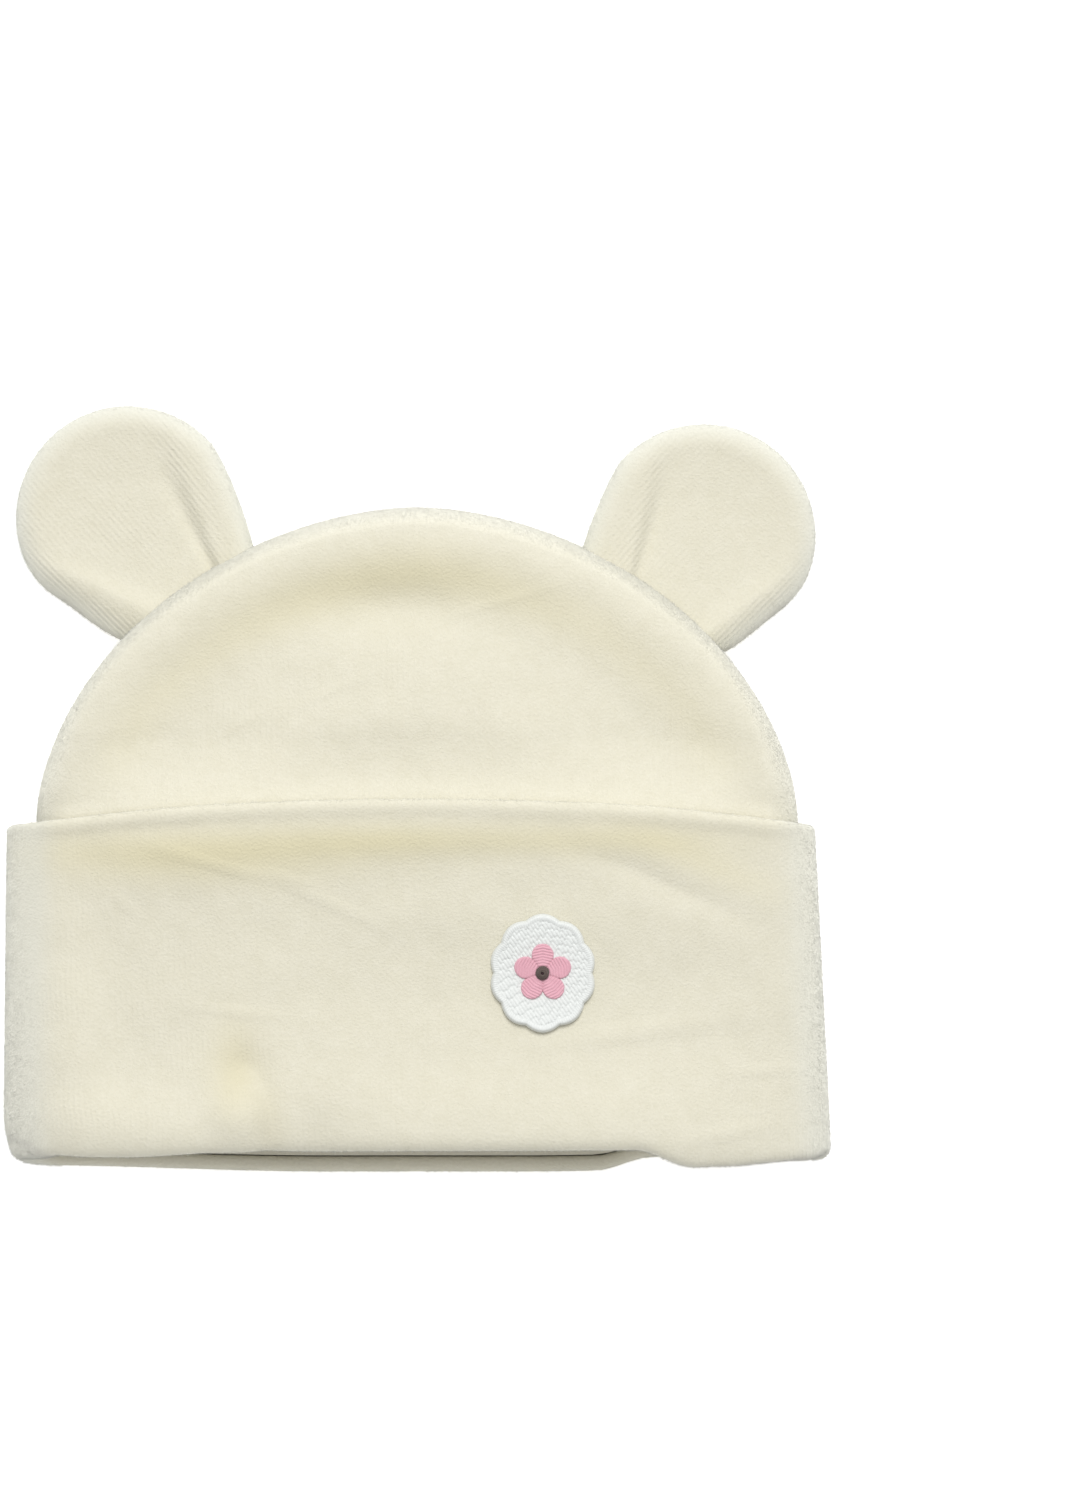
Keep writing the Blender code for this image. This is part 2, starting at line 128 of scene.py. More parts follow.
# Ears: side, seat as a share of half the crown's width, neck as a share of the ears' neck, and degrees
# past the crown's own slope; then the inner crease's and outer ridge's places at the seam, as shares of
# half the lobe, how far they spread for each metre out, and how high the folded margins stand. Last, how
# much wider the base is on the inner and the outer side, how far out the outer side is pulled flat, and
# the width over which it slopes down to its edge.
EAR_COLUMNS = (
    "name", "node", "side", "seat_share", "neck_share", "extra_lean",
    "crease_seat", "crease_spread", "inner_height", "ridge_seat", "ridge_spread", "outer_height",
    "inner_base", "outer_base", "flat_at", "bevel",
)
EARS = (
    ("ear_left_velour", "ear_left", -1, 0.607, 1.00, 8.0, 0.29, 0.36, 0.0010, 0.40, 0.46, 0.0012,
     -0.0014, 0.0015, 0.014, 0.0085),
    ("ear_right_velour", "ear_right", 1, 0.625, 0.81, 8.0, 0.21, 0.60, 0.0009, 0.62, 0.20, 0.0006,
     0.0000, 0.0032, 0.013, 0.0060),
)

# Steps of the rim's line: the start and the run of each, in cos t round the hat from the left side at
# -1 to the right side at 1, or in sin t from the back's middle at -1 to the front's at 1.
SAG_STEP, EASING_STEP, NOTCH_STEP = (0.53, 0.16), (0.76, 0.20), (0.44, 0.14)
LEFT_STEP, CORNER_STEP, BOW_STEP = (0.40, 0.40), (0.90, 0.06), (0.25, 0.75)
FRONT_STEP, STAGGER_STEP, CORNER_FRONT_STEP = (0, 0.3), (-0.35, 0.70), (-0.05, 0.25)
SAG_EASING = 0.21  # share of the rim's sag that is lost again towards the right corner

LUMPS, LUMP_WAVES = 14, (0.009, 0.026)  # how many waves make up the lumps, and their shortest and longest
ROLL_RUN, PUFF_RUN = 0.030, 0.019  # how far above the shoulder line the crown's roll and puff are in full
# Painted warm shade in a band in the valley behind the crown's roll.
PAINTED_SHADE_BAND_IN, PAINTED_SHADE_BAND_WIDTH, PAINTED_SHADE_BAND_RISE = 0.0150, 0.0058, 0.02  # the warm band inside the crown's edge
PAINTED_SHADE_TOP_X, PAINTED_SHADE_TOP_WIDTH = -0.006, 0.036  # where that band is strongest
# Painted sheen and shade along an edge, greyer and darker: its strength, and the width of the bell by which it fades.
CROWN_PAINTED_SHEEN, CUFF_PAINTED_SHEEN, RIM_PAINTED_SHEEN, EAR_PAINTED_SHEEN = (0.3, 0.0042), (0.5, 0.0040), (0.08, 0.0060), (0.7, 0.0032)
# Painted shade, by the dark shade colour: behind the crown's roll at the top, along the ears' outer edges by the
# crown, inside the back and round both rims.
CROWN_PAINTED_SHADE, CROWN_PAINTED_SHADE_IN, CROWN_PAINTED_SHADE_REACH = (0.08, 0.0026), 0.0044, 0.034  # behind the roll, by the top
EAR_PAINTED_SHADE, EAR_SHADE_SIDE, EAR_SHADE_STEP = (0.45, 0.0009), 0.008, (0.014, 0.010)  # by the crown, on the outer side
MOUTH_PAINTED_SHADE, RIM_PAINTED_SHADE, RIM_BACK_PAINTED_SHADE = 0.4, 0.45, 0.14  # inside the back, round the front rim and the back rim
SLACK_RIM_SHARE, SLACK_RIM_WIDTH = 0.5, 0.0050  # how much of the slack is drawn in at the rim, and how far up

CUFF_LOOPS, INNER_LOOPS, EDGE_LOOPS, RIM_LOOPS = 110, 14, 10, 14  # on the cuff's faces and round its turns
CROWN_LOOPS, DOME_LOOPS, BARE_LOOPS = 26, 120, 22  # under and over the shoulder line; those with no hairs
RIM_SQUARENESS = 0.75  # power of the rim's turn, 1 for a round one
BARE_BELOW = 0.0035  # height under which no hairs stand
OPEN_FACE, TURN_RUN = 0.80, 0.45  # upward share of the normal from which none stand, and how they thicken
NAP, SCATTER, LEAST_LIFT = (0.0, -0.35, 0.0), 0.42, 0.25  # of a hair's heading, before it is made unit long
ASKEW = (0.011, 0.017, 0.013)  # keeps a hair's heading from lying along the normal
TUFT_RELIEF, WALE_RELIEF, FIBRE_RELIEF = 0.00022, 0.00004, 0.00006  # depths of the finishes' bumps
KNOT_WINDS = 3.4  # turns of the knot's thread
FLOOR_Z = -0.0002
KEY_SIZE, KEY_PLACE = 0.9, (0.15, 1.12, 1.50)
PHOTO_SIZE = (1091, 1500)


def metres(name, description, default):
    """A length among a group's properties."""
    return FloatProperty(name=name, description=description, default=default, unit="LENGTH")


def number(name, description, default):
    """A bare number among a group's properties: a power, a strength or a share."""
    return FloatProperty(name=name, description=description, default=default)


def tint(name, description, default):
    """A colour among a group's properties."""
    return FloatVectorProperty(name=name, description=description, default=default, subtype="COLOR")


class HatSizes(bpy.types.PropertyGroup):
    """Lengths of the hat: the solids' own, and those of the cloth's finer forms"""

    crown_width: metres("Crown width", "Across the crown at the cuff, laid flat", 0.1672)
    crown_rise: metres("Crown rise", "From the shoulder line to the crown's top", 0.0675)
    crown_roundness: number("Crown roundness", "Power of the crown's outline", 1.82)
    cuff_height: metres("Cuff height", "From the rim to the shoulder line", 0.0788)
    cuff_side_drop: metres("Cuff side drop", "How far the cuff's edge dips at the sides", 0.0025)
    cuff_arch: metres("Cuff arch", "How far the cuff's edge arches up in front", 0.0056)
    rim_flare: metres("Rim flare", "Extra half width at the rim", 0.0024)
    rim_drift: metres("Rim drift", "Sideways shift of the rim", 0.0016)
    rim_stagger: metres("Rim stagger", "How far the front rim lies back from the back rim", 0.0064)
    slack_left: metres("Slack left", "Loose cloth at the cuff's left fold", 0.0032)
    slack_right: metres("Slack right", "Loose cloth at the cuff's right fold", 0.0003)
    slack_width: metres("Slack width", "How far the slack reaches in from the fold", 0.0140)
    cloth: metres("Cloth", "Thickness of the doubled velour", 0.0030)
    seat_gap: metres("Seat gap", "Gap between seated pieces", 0.0003)
    seam_height: metres("Seam height", "Height of the side folds above the back", 0.0062)
    roll_rise: metres("Roll rise", "How far the edge roll rises above the fold", 0.0070)
    roll_width: metres("Roll width", "Width of the edge roll", 0.0080)
    crown_roll: metres("Crown roll", "Width of the edge roll in front of the crown", 0.0042)
    loft: metres("Loft", "How far the middle is puffed up", 0.0120)
    loft_width: metres("Loft width", "Distance in over which the loft builds up", 0.0500)
    step_length: metres("Step length", "Run of the back's step down past the cuff", 0.0140)
    puff_crest: metres("Puff crest", "Distance in of the crown's edge crest", 0.0046)
    puff_rise: metres("Puff rise", "Height of that crest", 0.0042)
    puff_valley: metres("Puff valley", "Distance in of the valley behind it", 0.0262)
    puff_dip: metres("Puff dip", "Depth of that valley", 0.0028)
    puff_spread: metres("Puff spread", "Width of both", 0.0097)
    puff_slope: metres("Puff slope", "Width of the valley towards the middle", 0.0190)
    lump_height: metres("Lump height", "Unevenness of the lofted cloth", 0.00003)
    lip_height: metres("Lip height", "How far the cloth swells along the cuff's edge", 0.0012)
    lip_width: metres("Lip width", "Half width of that swelling", 0.0027)
    rim_sag: metres("Rim sag", "How far the front rim sags to the right of the notch", 0.0038)
    left_sag: metres("Left sag", "How far the front rim sags towards the left", 0.0013)
    corner_drop: metres("Corner drop", "How much lower the front rim hangs at the left corner", 0.0011)
    back_bow: metres("Back bow", "How far the back rim draws in towards the sides", 0.0014)
    notch_rise: metres("Notch rise", "How far the back rim draws in to the right of the notch", 0.0026)


class EarSizes(bpy.types.PropertyGroup):
    """Lengths of the ears: the solids' own, and those of their finer forms"""

    width: metres("Width", "Across the round lobe", 0.0493)
    base_width: metres("Base width", "Along the seam", 0.0352)
    neck: metres("Neck", "From the seam to the lobe's middle", 0.0195)
    thickness: metres("Thickness", "Through the padding", 0.0080)
    edge_width: metres("Edge width", "Width of the rounded edge", 0.0055)
    dish: metres("Dish", "Depth of the hollow face", 0.0009)
    dish_width: metres("Dish width", "Run of the hollow's side", 0.0150)
    squareness: number("Squareness", "Power of the edge's rounding in front", 2.5)
    flattening: metres("Flattening", "How far the outer side is pulled in", 0.0012)
    crease_width: metres("Crease width", "Sharpness of the inner crease at the seam", 0.0012)


class VelourFinish(bpy.types.PropertyGroup):
    """Colours, texture and pile of the velour"""

    cream: tint("Cream", "Colour of the pile's tips", (0.676, 0.649, 0.543))
    deep_cream: tint("Deep cream", "Colour between the tufts", (0.598, 0.569, 0.451))
    # Painted warm shade: the darker, yellower colour given to shaded folds.
    painted_warm_shade_cream: tint("Painted warm shade cream", "Painted warm shade: darker, yellower colour where the cloth folds in", (0.642, 0.593, 0.405))
    # Painted sheen and shade: the greyer, darker colour where the edges turn away from the light.
    painted_edge_sheen_cream: tint("Painted edge sheen cream", "Painted sheen and shade: greyer, darker colour round the edges", (0.622, 0.622, 0.557))
    # Painted shade: the dark colour given to the mouth and to closed folds.
    painted_dark_shade_cream: tint("Painted dark shade cream", "Painted dark shade in the mouth and in closed folds", (0.395, 0.378, 0.345))
    hair_tip: tint("Hair tip", "Lightest colour of single hairs", (0.76, 0.735, 0.64))
    wale: metres("Wale", "Spacing of the knit's wales", 0.0012)
    tuft: metres("Tuft", "Size of the pile's tufts", 0.0006)
    sheen: FloatProperty(name="Sheen", description="Strength of the pile's sheen", default=0.55, min=0, max=1)
    hair_length: metres("Hair length", "Length of the longest hairs", 0.0006)
    hair_width: metres("Hair width", "Width of a hair's root", 0.00006)
    density: number("Density", "Modelled hairs on each square millimetre", 10.0)


class PatchFinish(bpy.types.PropertyGroup):
    """Colours and threads of the embroidered patch"""

    white: tint("White", "Ground thread", (0.735, 0.755, 0.735))
    pink: tint("Pink", "Petal thread", (0.72, 0.385, 0.455))
    brown: tint("Brown", "Knot thread", (0.085, 0.06, 0.05))
    thread: metres("Thread", "Width of a thread", 0.00048)
    across: number("Across", "Place, as a share of half the crown's width", 0.33)
    along: number("Along", "Place, as a share of the cuff's height", -0.435)
    width: metres("Width", "Of the ground", 0.0232)
    height: metres("Height", "Of the ground", 0.0258)
    thickness: metres("Thickness", "Of the ground", 0.0013)
    scallops: IntProperty(name="Scallops", description="Round the ground's edge", default=10)
    scallop_depth: metres("Scallop depth", "Of the edge", 0.0008)
    blossom: metres("Blossom", "Width over the petals", 0.0130)
    blossom_thickness: metres("Blossom thickness", "Height over the ground", 0.0008)
    petals: IntProperty(name="Petals", description="On the blossom", default=5)
    knot: metres("Knot", "Width of the knot", 0.0034)


class StageSettings(bpy.types.PropertyGroup):
    """Camera, floor and lights"""

    distance: metres("Camera height", "Above the surface", 1.8)
    view_width: metres("View width", "Width of the picture at the hat's edge", 0.2400)
    view_plane: metres("View plane", "Height at which that width holds", 0.008)
    look_at: FloatVectorProperty(
        name="Look at", description="Point under the camera", subtype="XYZ", unit="LENGTH", default=(0.0282, 0.0086, 0)
    )
    sky: number("Sky", "Strength of the light from all round", 0.66)
    key: number("Key", "Power of the large lamp past the crown", 27.0)
    table_glow: number("Table glow", "Light that the white table gives off", 0.50)


def rows_of(columns, table):
    """The table's rows as dictionaries, by column name."""
    return [dict(zip(columns, row)) for row in table]


def smooth(share):
    """3 t^2 - 2 t^3, with t held between 0 and 1."""
    share = np.clip(share, 0, 1)
    return share * share * (3 - 2 * share)


def ramp(value, start, run):
    """Smooth step from 0 at the start to 1 one run further on."""
    return smooth((value - start) / run)


def bell(distance, width):
    """exp(-(d / w)^2)"""
    return np.exp(-((distance / width) ** 2))


def tone(distance, strength, width):
    """strength exp(-(d / w)^2)"""
    return strength * bell(distance, width)


def quarter_round(distance, width, power=2.0):
    """(1 - (1 - d / w)^p)^(1/p): at power 2 a quarter ellipse of unit rise over the width."""
    share = np.clip(1 - distance / width, 0, 1)
    return (1 - share**power) ** (1 / power)


def unit(vectors):
    """The vectors at length 1."""
    return vectors / np.maximum(np.linalg.norm(vectors, axis=-1, keepdims=True), 1e-12)


class HatShape:
    """The hat's surfaces as formulas of plain position, from its sizes."""

    def __init__(self, sizes):
        self.s = sizes
        self.half_crown = sizes.crown_width / 2
        self.shoulder_y = CROWN_BOX[1][1] - sizes.crown_rise
        self.rim_y = self.shoulder_y - sizes.cuff_height
        self.fold_depth = sizes.cloth + sizes.seat_gap
        random = np.random.default_rng(7)
        wavelength = random.uniform(*LUMP_WAVES, LUMPS)
        heading = random.uniform(0, math.pi, LUMPS)
        self.lump_x = math.tau / wavelength * np.cos(heading)
        self.lump_y = math.tau / wavelength * np.sin(heading)
        self.lump_phase = random.uniform(0, math.tau, LUMPS)

    def place(self, across, along):
        """Position of a share across and along: along the cuff below the shoulder line, or the crown above."""
        reach = self.s.crown_rise if along > 0 else self.s.cuff_height
        return across * self.half_crown, self.shoulder_y + along * reach

    def outline_height(self, across):
        """rise (1 - |x / half|^n)^(1/n): the crown's outline above the shoulder line."""
        n = self.s.crown_roundness
        share = np.clip(np.abs(across) / self.half_crown, 0, 1)
        return self.s.crown_rise * (1 - share**n) ** (1 / n)

    def outline_lean(self, across):
        """Angle from +Y of the outline's outward normal."""
        n = self.s.crown_roundness
        sideways = (across / self.half_crown) ** (n - 1) / self.half_crown
        upwards = (self.outline_height(across) / self.s.crown_rise) ** (n - 1) / self.s.crown_rise
        return math.atan2(sideways, upwards)

    def towards_rim(self, y):
        """1 - t, with t from 0 at the rim to 1 at the shoulder line."""
        return 1 - np.clip((y - self.rim_y) / self.s.cuff_height, 0, 1)

    def centre_line(self, y):
        """X of the middle: drift (1 - t)."""
        return self.s.rim_drift * self.towards_rim(y)

    def half_width(self, y):
        """Half the crown's width plus flare (1 - t)."""
        return self.half_crown + self.s.rim_flare * self.towards_rim(y)

    def signed_inside(self, x, y):
        """(1 - F) / |grad F| of the superellipse F, positive inside the crown's outline."""
        n, half, rise = self.s.crown_roundness, self.half_width(y), self.s.crown_rise
        across = np.abs(x - self.centre_line(y)) / half
        up = np.clip(y - self.shoulder_y, 0, None) / rise
        level = np.maximum((across**n + up**n) ** (1 / n), 1e-6)
        slope = level ** (1 - n) * np.hypot(across ** (n - 1) / half, up ** (n - 1) / rise)
        return (1 - level) / slope

    def inside(self, x, y):
        """Distance in from the outline, 0 outside it."""
        return np.clip(self.signed_inside(x, y), 0, None)

    def edge_y(self, sine):
        """Y of the cuff's upper edge: shoulder - drop + arch |sin t|^1.5."""
        return self.shoulder_y - self.s.cuff_side_drop + self.s.cuff_arch * np.abs(sine) ** 1.5

    def floor_height(self, y):
        """The back lies on the cuff's back, and steps down to the surface past the cuff's edge."""
        return self.fold_depth * (1 - ramp(y, self.edge_y(1), self.s.step_length))

    def folds(self, x, y, table, scale=1.0):
        """Sum of turned Gaussians h exp(-(u / length)^2 - (v / width)^2), spreads times the scale."""
        total = np.zeros(np.broadcast(x, y).shape)
        for row in rows_of(FOLD_COLUMNS, table):
            centre_x, centre_y = self.place(row["across"], row["along"])
            dx, dy, turn = x - centre_x, y - centre_y, math.radians(row["turn"])
            u = (dx * math.cos(turn) + dy * math.sin(turn)) / (row["length"] * scale)
            v = (dy * math.cos(turn) - dx * math.sin(turn)) / (row["width"] * scale)
            total += row["height"] * np.exp(-(u**2) - v**2)
        return total

    def painted_warm_shade_share(self, x, y):
        """Painted warm shade: its spots, and a band at one distance in from the crown's edge, strongest on top."""
        band = bell(self.inside(x, y) - PAINTED_SHADE_BAND_IN, PAINTED_SHADE_BAND_WIDTH) * ramp(y, self.shoulder_y, PAINTED_SHADE_BAND_RISE)
        strongest = 0.25 + 0.50 * bell(x - PAINTED_SHADE_TOP_X, PAINTED_SHADE_TOP_WIDTH)
        return self.folds(x, y, PAINTED_WARM_SHADE_SPOTS, self.half_crown) + band * strongest

    def lumps(self, x, y):
        """Sum of plane waves h sin(k . p + phase) of mixed headings."""
        waves = np.asarray(x)[..., None] * self.lump_x + np.asarray(y)[..., None] * self.lump_y + self.lump_phase
        return self.s.lump_height * np.sin(waves).sum(axis=-1)

    def front_roll(self, y):
        """Width of the edge roll in front: tighter over the crown, by a smooth step."""
        return self.s.roll_width + (self.s.crown_roll - self.s.roll_width) * ramp(y, self.shoulder_y, ROLL_RUN)

    def front_height(self, x, y, creases=()):
        """floor + seam + roll Q(d) + loft L(d) (1 + swells) + puff + creases, lumps and lip, with d the
        distance in from the edge. Puff = crest bell Q(d) - valley bell, above the shoulder line alone."""
        s, inside = self.s, self.inside(x, y)
        lift = 1 - np.clip(1 - inside / s.loft_width, 0, 1) ** 2
        swell = self.folds(x - self.centre_line(y), y, SWELLS, self.half_crown)
        crest = s.puff_rise * bell(inside - s.puff_crest, s.puff_spread)
        run = np.where(inside < s.puff_valley, s.puff_spread, s.puff_slope)
        valley = s.puff_dip * bell(inside - s.puff_valley, run)
        edge = quarter_round(inside, self.front_roll(y))
        puff = (crest * edge - valley) * ramp(y, self.shoulder_y, PUFF_RUN)
        cuff_edge = self.edge_y(np.sqrt(np.clip(1 - (x / self.half_crown) ** 2, 0, 1)))
        lip = s.lip_height * bell(y - cuff_edge, s.lip_width)
        fine = (self.folds(x, y, creases) + self.lumps(x, y) + lip) * smooth(inside / s.roll_width)
        base = self.floor_height(y) + s.seam_height + s.roll_rise * edge
        return base + s.loft * lift * (1 + swell) + puff + fine

    def back_height(self, x, y):
        """floor + seam (1 - Q(d)): the back turns under from the side fold and lies flat."""
        under = self.s.seam_height * quarter_round(self.inside(x, y), self.s.roll_width)
        return self.floor_height(y) + self.s.seam_height - under

    def sack(self, turns, y, half, creases=()):
        """Points (centre + half cos t, y, front or back height) on loops round the hat."""
        x = self.centre_line(y) + half * np.cos(turns)
        z = np.where(np.sin(turns) >= 0, self.front_height(x, y, creases), self.back_height(x, y))
        return np.stack(np.broadcast_arrays(x, y, z), axis=-1)

    def sleeve_y(self, turns, share):
        """Y inside the cuff, from the rim at share 0 to the arched edge at share 1. The front rim lies back
        from the back rim. It sags to the right of the notch, towards the left and at the left corner, and
        the back rim draws in towards the sides and to the right of the notch, each by smooth steps."""
        s, cosine, sine = self.s, np.cos(turns), np.sin(turns)
        sag = s.rim_sag * ramp(cosine, *SAG_STEP) * (1 - SAG_EASING * ramp(cosine, *EASING_STEP))
        sag = (sag + s.left_sag * ramp(-cosine, *LEFT_STEP)) * ramp(sine, *FRONT_STEP)
        sag = sag + s.corner_drop * ramp(-cosine, *CORNER_STEP) * ramp(sine, *CORNER_FRONT_STEP)
        bow = s.back_bow * ramp(np.abs(cosine), *BOW_STEP) + s.notch_rise * ramp(cosine, *NOTCH_STEP)
        rim = self.rim_y + s.rim_stagger * ramp(sine, *STAGGER_STEP) - sag + bow * ramp(-sine, *FRONT_STEP)
        return rim + (self.edge_y(sine) - rim) * share

    def sleeve(self, turns, share, offset, creases=()):
        """Points at a distance out from the sleeve, along the cross product of its two tangents."""
        step = 1e-3

        def surface(turn, place):
            y = self.sleeve_y(turn, place)
            return self.sack(turn, y, self.half_width(y), creases)

        round_it = surface(turns + step, share) - surface(turns - step, share)
        along_it = surface(turns, share + step) - surface(turns, share - step)
        return surface(turns, share) + unit(np.cross(along_it, round_it)) * offset


def loop_turns(front, back):
    """Turns round the hat from the back's middle, closer together across the middle of the front."""
    crowding = 0.35
    share = np.arange(front) / front
    across_front = math.pi * (share + crowding * np.sin(math.tau * share) / math.tau)
    right_back = np.linspace(-math.pi / 2, 0, back // 2, endpoint=False)
    left_back = np.linspace(math.pi, 1.5 * math.pi, back // 2, endpoint=False)
    return np.concatenate([right_back, across_front, left_back])


def grid_faces(rows, columns, wrap_rows):
    """Vertex numbers of the quads between neighbouring loops, each loop closed on itself."""
    row = np.arange(rows if wrap_rows else rows - 1)[:, None]
    column = np.arange(columns)[None, :]
    after, beside = (row + 1) % rows, (column + 1) % columns
    corners = [row * columns + column, row * columns + beside, after * columns + beside, after * columns + column]
    return np.stack(np.broadcast_arrays(*corners), axis=-1).reshape(-1, 4)


def grid_uvs(points, columns_from, wrap_rows):
    """For each quad's corners, the distance along its loop from a column, and the Y of the point."""
    closed = np.concatenate([points, points[:, :1]], axis=1)
    steps = np.linalg.norm(np.diff(closed, axis=1), axis=-1)
    along = np.concatenate([np.zeros((len(points), 1)), np.cumsum(steps, axis=1)], axis=1)
    along -= along[:, columns_from : columns_from + 1]
    up = closed[..., 1]
    if wrap_rows:
        along, up = (np.concatenate([part, part[:1]]) for part in (along, up))
    uv = np.stack([along, up], axis=-1)
    return np.stack([uv[:-1, :-1], uv[:-1, 1:], uv[1:, 1:], uv[1:, :-1]], axis=2).reshape(-1, 2)


def enclosed_volume(vertices, faces):
    """Sum of a . (b x c) / 6 over the faces' triangles, positive where they face outwards."""
    total = 0.0
    for corner in range(1, faces.shape[1] - 1):
        a, b, c = vertices[faces[:, 0]], vertices[faces[:, corner]], vertices[faces[:, corner + 1]]
        total += np.einsum("ij,ij->", a, np.cross(b, c)) / 6
    return total


def lay_mesh(name, points, first_tip=None, last_tip=None, wrap_rows=False, uv_from=0, **tones):
    """A closed mesh over loops of points, rows by columns by 3, with tips that close its ends.
    Its faces are turned outwards, and its points carry the tones: the shares of painted warm shade, painted dark
    shade and painted edge sheen, and how ribbed the pile is."""
    rows, columns = points.shape[:2]
    vertices = points.reshape(-1, 3)
    ring, beside = np.arange(columns), (np.arange(columns) + 1) % columns
    parts = [(grid_faces(rows, columns, wrap_rows), grid_uvs(points, uv_from, wrap_rows).reshape(-1, 4, 2))]
    for tip, start in ((first_tip, 0), (last_tip, (rows - 1) * columns)):
        if tip is None:
            continue
        fan = np.stack([start + ring, start + beside, np.full(columns, len(vertices))], axis=-1)
        parts.append((fan if start else fan[:, ::-1], np.tile([0.0, tip[1]], (columns, 3, 1))))
        vertices = np.concatenate([vertices, [tip]])
    if sum(enclosed_volume(vertices, faces) for faces, _ in parts) < 0:
        parts = [(faces[:, ::-1], uvs[:, ::-1]) for faces, uvs in parts]
    mesh = bpy.data.meshes.new(name)
    mesh.from_pydata(vertices.tolist(), [], [face for faces, _ in parts for face in faces.tolist()])
    corner_uvs = np.concatenate([uvs.reshape(-1, 2) for _, uvs in parts])
    mesh.uv_layers.new(name="Cloth").data.foreach_set("uv", corner_uvs.astype(np.float32).ravel())
    for key, shares in tones.items():
        carry_shares(mesh, key, np.pad(shares.ravel(), (0, len(vertices) - rows * columns)))
    mesh.shade_smooth()
    mesh.update()
    return mesh


def carry_shares(mesh, key, shares):
    """Puts one number at each point of the mesh, for its material to read."""
    mesh.attributes.new(key, "FLOAT", "POINT").data.foreach_set("value", shares.astype(np.float32))


def pile_mesh(name, points, normals, tones, look, seed):
    """Hairs rooted at random over a grid: each a closed needle of three base points and a tip.
    Tip = root + length (lift n + nap + scatter), with the nap down the hat, and the base sunk in.
    They stand where the surface turns away to the sides, and not on the open face. Each hair takes
    the normal of the cloth it stands on, so that the pile shades as one surface."""
    random = np.random.default_rng(seed)
    a, b, c = points[:-1, :-1], points[:-1, 1:], points[1:, :-1]
    area = np.linalg.norm(np.cross(b - a, c - a), axis=-1)
    facing = normals[:-1, :-1, 2]
    seen = (facing > -0.25) & (points[:-1, :-1, 2] > BARE_BELOW)
    weight = area * seen * smooth((OPEN_FACE - facing) / TURN_RUN)
    count = int(weight.sum() * 1e6 * look.density)
    cells = random.choice(weight.size, count, p=weight.ravel() / weight.sum())
    row, column = np.divmod(cells, weight.shape[1])
    u, v = random.random((2, count, 1))

    def between(field):
        field = field if field.ndim == 3 else field[..., None]
        near = field[row, column] * (1 - u) + field[row, column + 1] * u
        far = field[row + 1, column] * (1 - u) + field[row + 1, column + 1] * u
        return near * (1 - v) + far * v

    root, normal = between(points), unit(between(normals))
    heading = normal * random.uniform(0.35, 1.0, (count, 1)) + np.array(NAP)
    heading += random.normal(0, SCATTER, (count, 3))
    heading += normal * np.clip(LEAST_LIFT - np.sum(heading * normal, axis=-1, keepdims=True), 0, None)
    heading = unit(heading)
    length = look.hair_length * random.uniform(0.55, 1.0, (count, 1))
    side = unit(np.cross(normal, heading + np.array(ASKEW)))
    other = np.cross(normal, side)
    base = root - normal * look.hair_width
    half = look.hair_width / 2
    corners = [base + side * half, base - (side - other) * half, base - (side + other) * half, root + heading * length]
    vertices = np.stack(corners, axis=1).reshape(-1, 3)
    needle = np.array([[0, 2, 1], [0, 1, 3], [1, 2, 3], [2, 0, 3]])
    if enclosed_volume(vertices, needle) < 0:
        needle = needle[:, ::-1]
    faces = (np.arange(count)[:, None, None] * 4 + needle).reshape(-1, 3)
    mesh = bpy.data.meshes.new(name)
    mesh.from_pydata(vertices.tolist(), [], faces.tolist())
    low, high = root.min(axis=0), root.max(axis=0)
    spot = np.repeat((root - low)[:, :2] / (high - low)[:2], 12, axis=0) * 0.996
    spot += np.tile([[0, 0], [0.004, 0], [0, 0.004]], (4 * count, 1))
    mesh.uv_layers.new(name="OFBake").data.foreach_set("uv", spot.astype(np.float32).ravel())
    for key, shares in tones.items():
        carry_shares(mesh, key, np.repeat(between(shares)[:, 0], 4))
    mesh.update()
    mesh.shade_smooth()
    mesh.normals_split_custom_set_from_vertices(np.repeat(normal, 4, axis=0).tolist())
    return mesh


def add_piece(name, mesh, finish, nodes=()):
    """Puts a finished mesh in the scene, riding on the hat's one body."""
    piece = bpy.data.objects.new(name, mesh)
    bpy.context.scene.collection.objects.link(piece)
    mesh.materials.append(finish)
    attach(piece, "root")
    if nodes:
        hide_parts(*nodes)
    return piece


def add_pile(name, points, normals, tones, look, seed):
    """Puts the pile's hairs over a grid of the velour in the scene, as a piece of their own."""
    return add_piece(name, pile_mesh(name, points, normals, tones, look, seed), hair_finish(look))


def unit_normals(points, wrap_rows=False):
    """Outward normals of a grid of closed loops, by differences along and round it."""
    round_it = np.roll(points, -1, axis=1) - np.roll(points, 1, axis=1)
    if wrap_rows:
        along_it = np.roll(points, -1, axis=0) - np.roll(points, 1, axis=0)
    else:
        along_it = np.gradient(points, axis=0)
    return unit(np.cross(along_it, round_it))


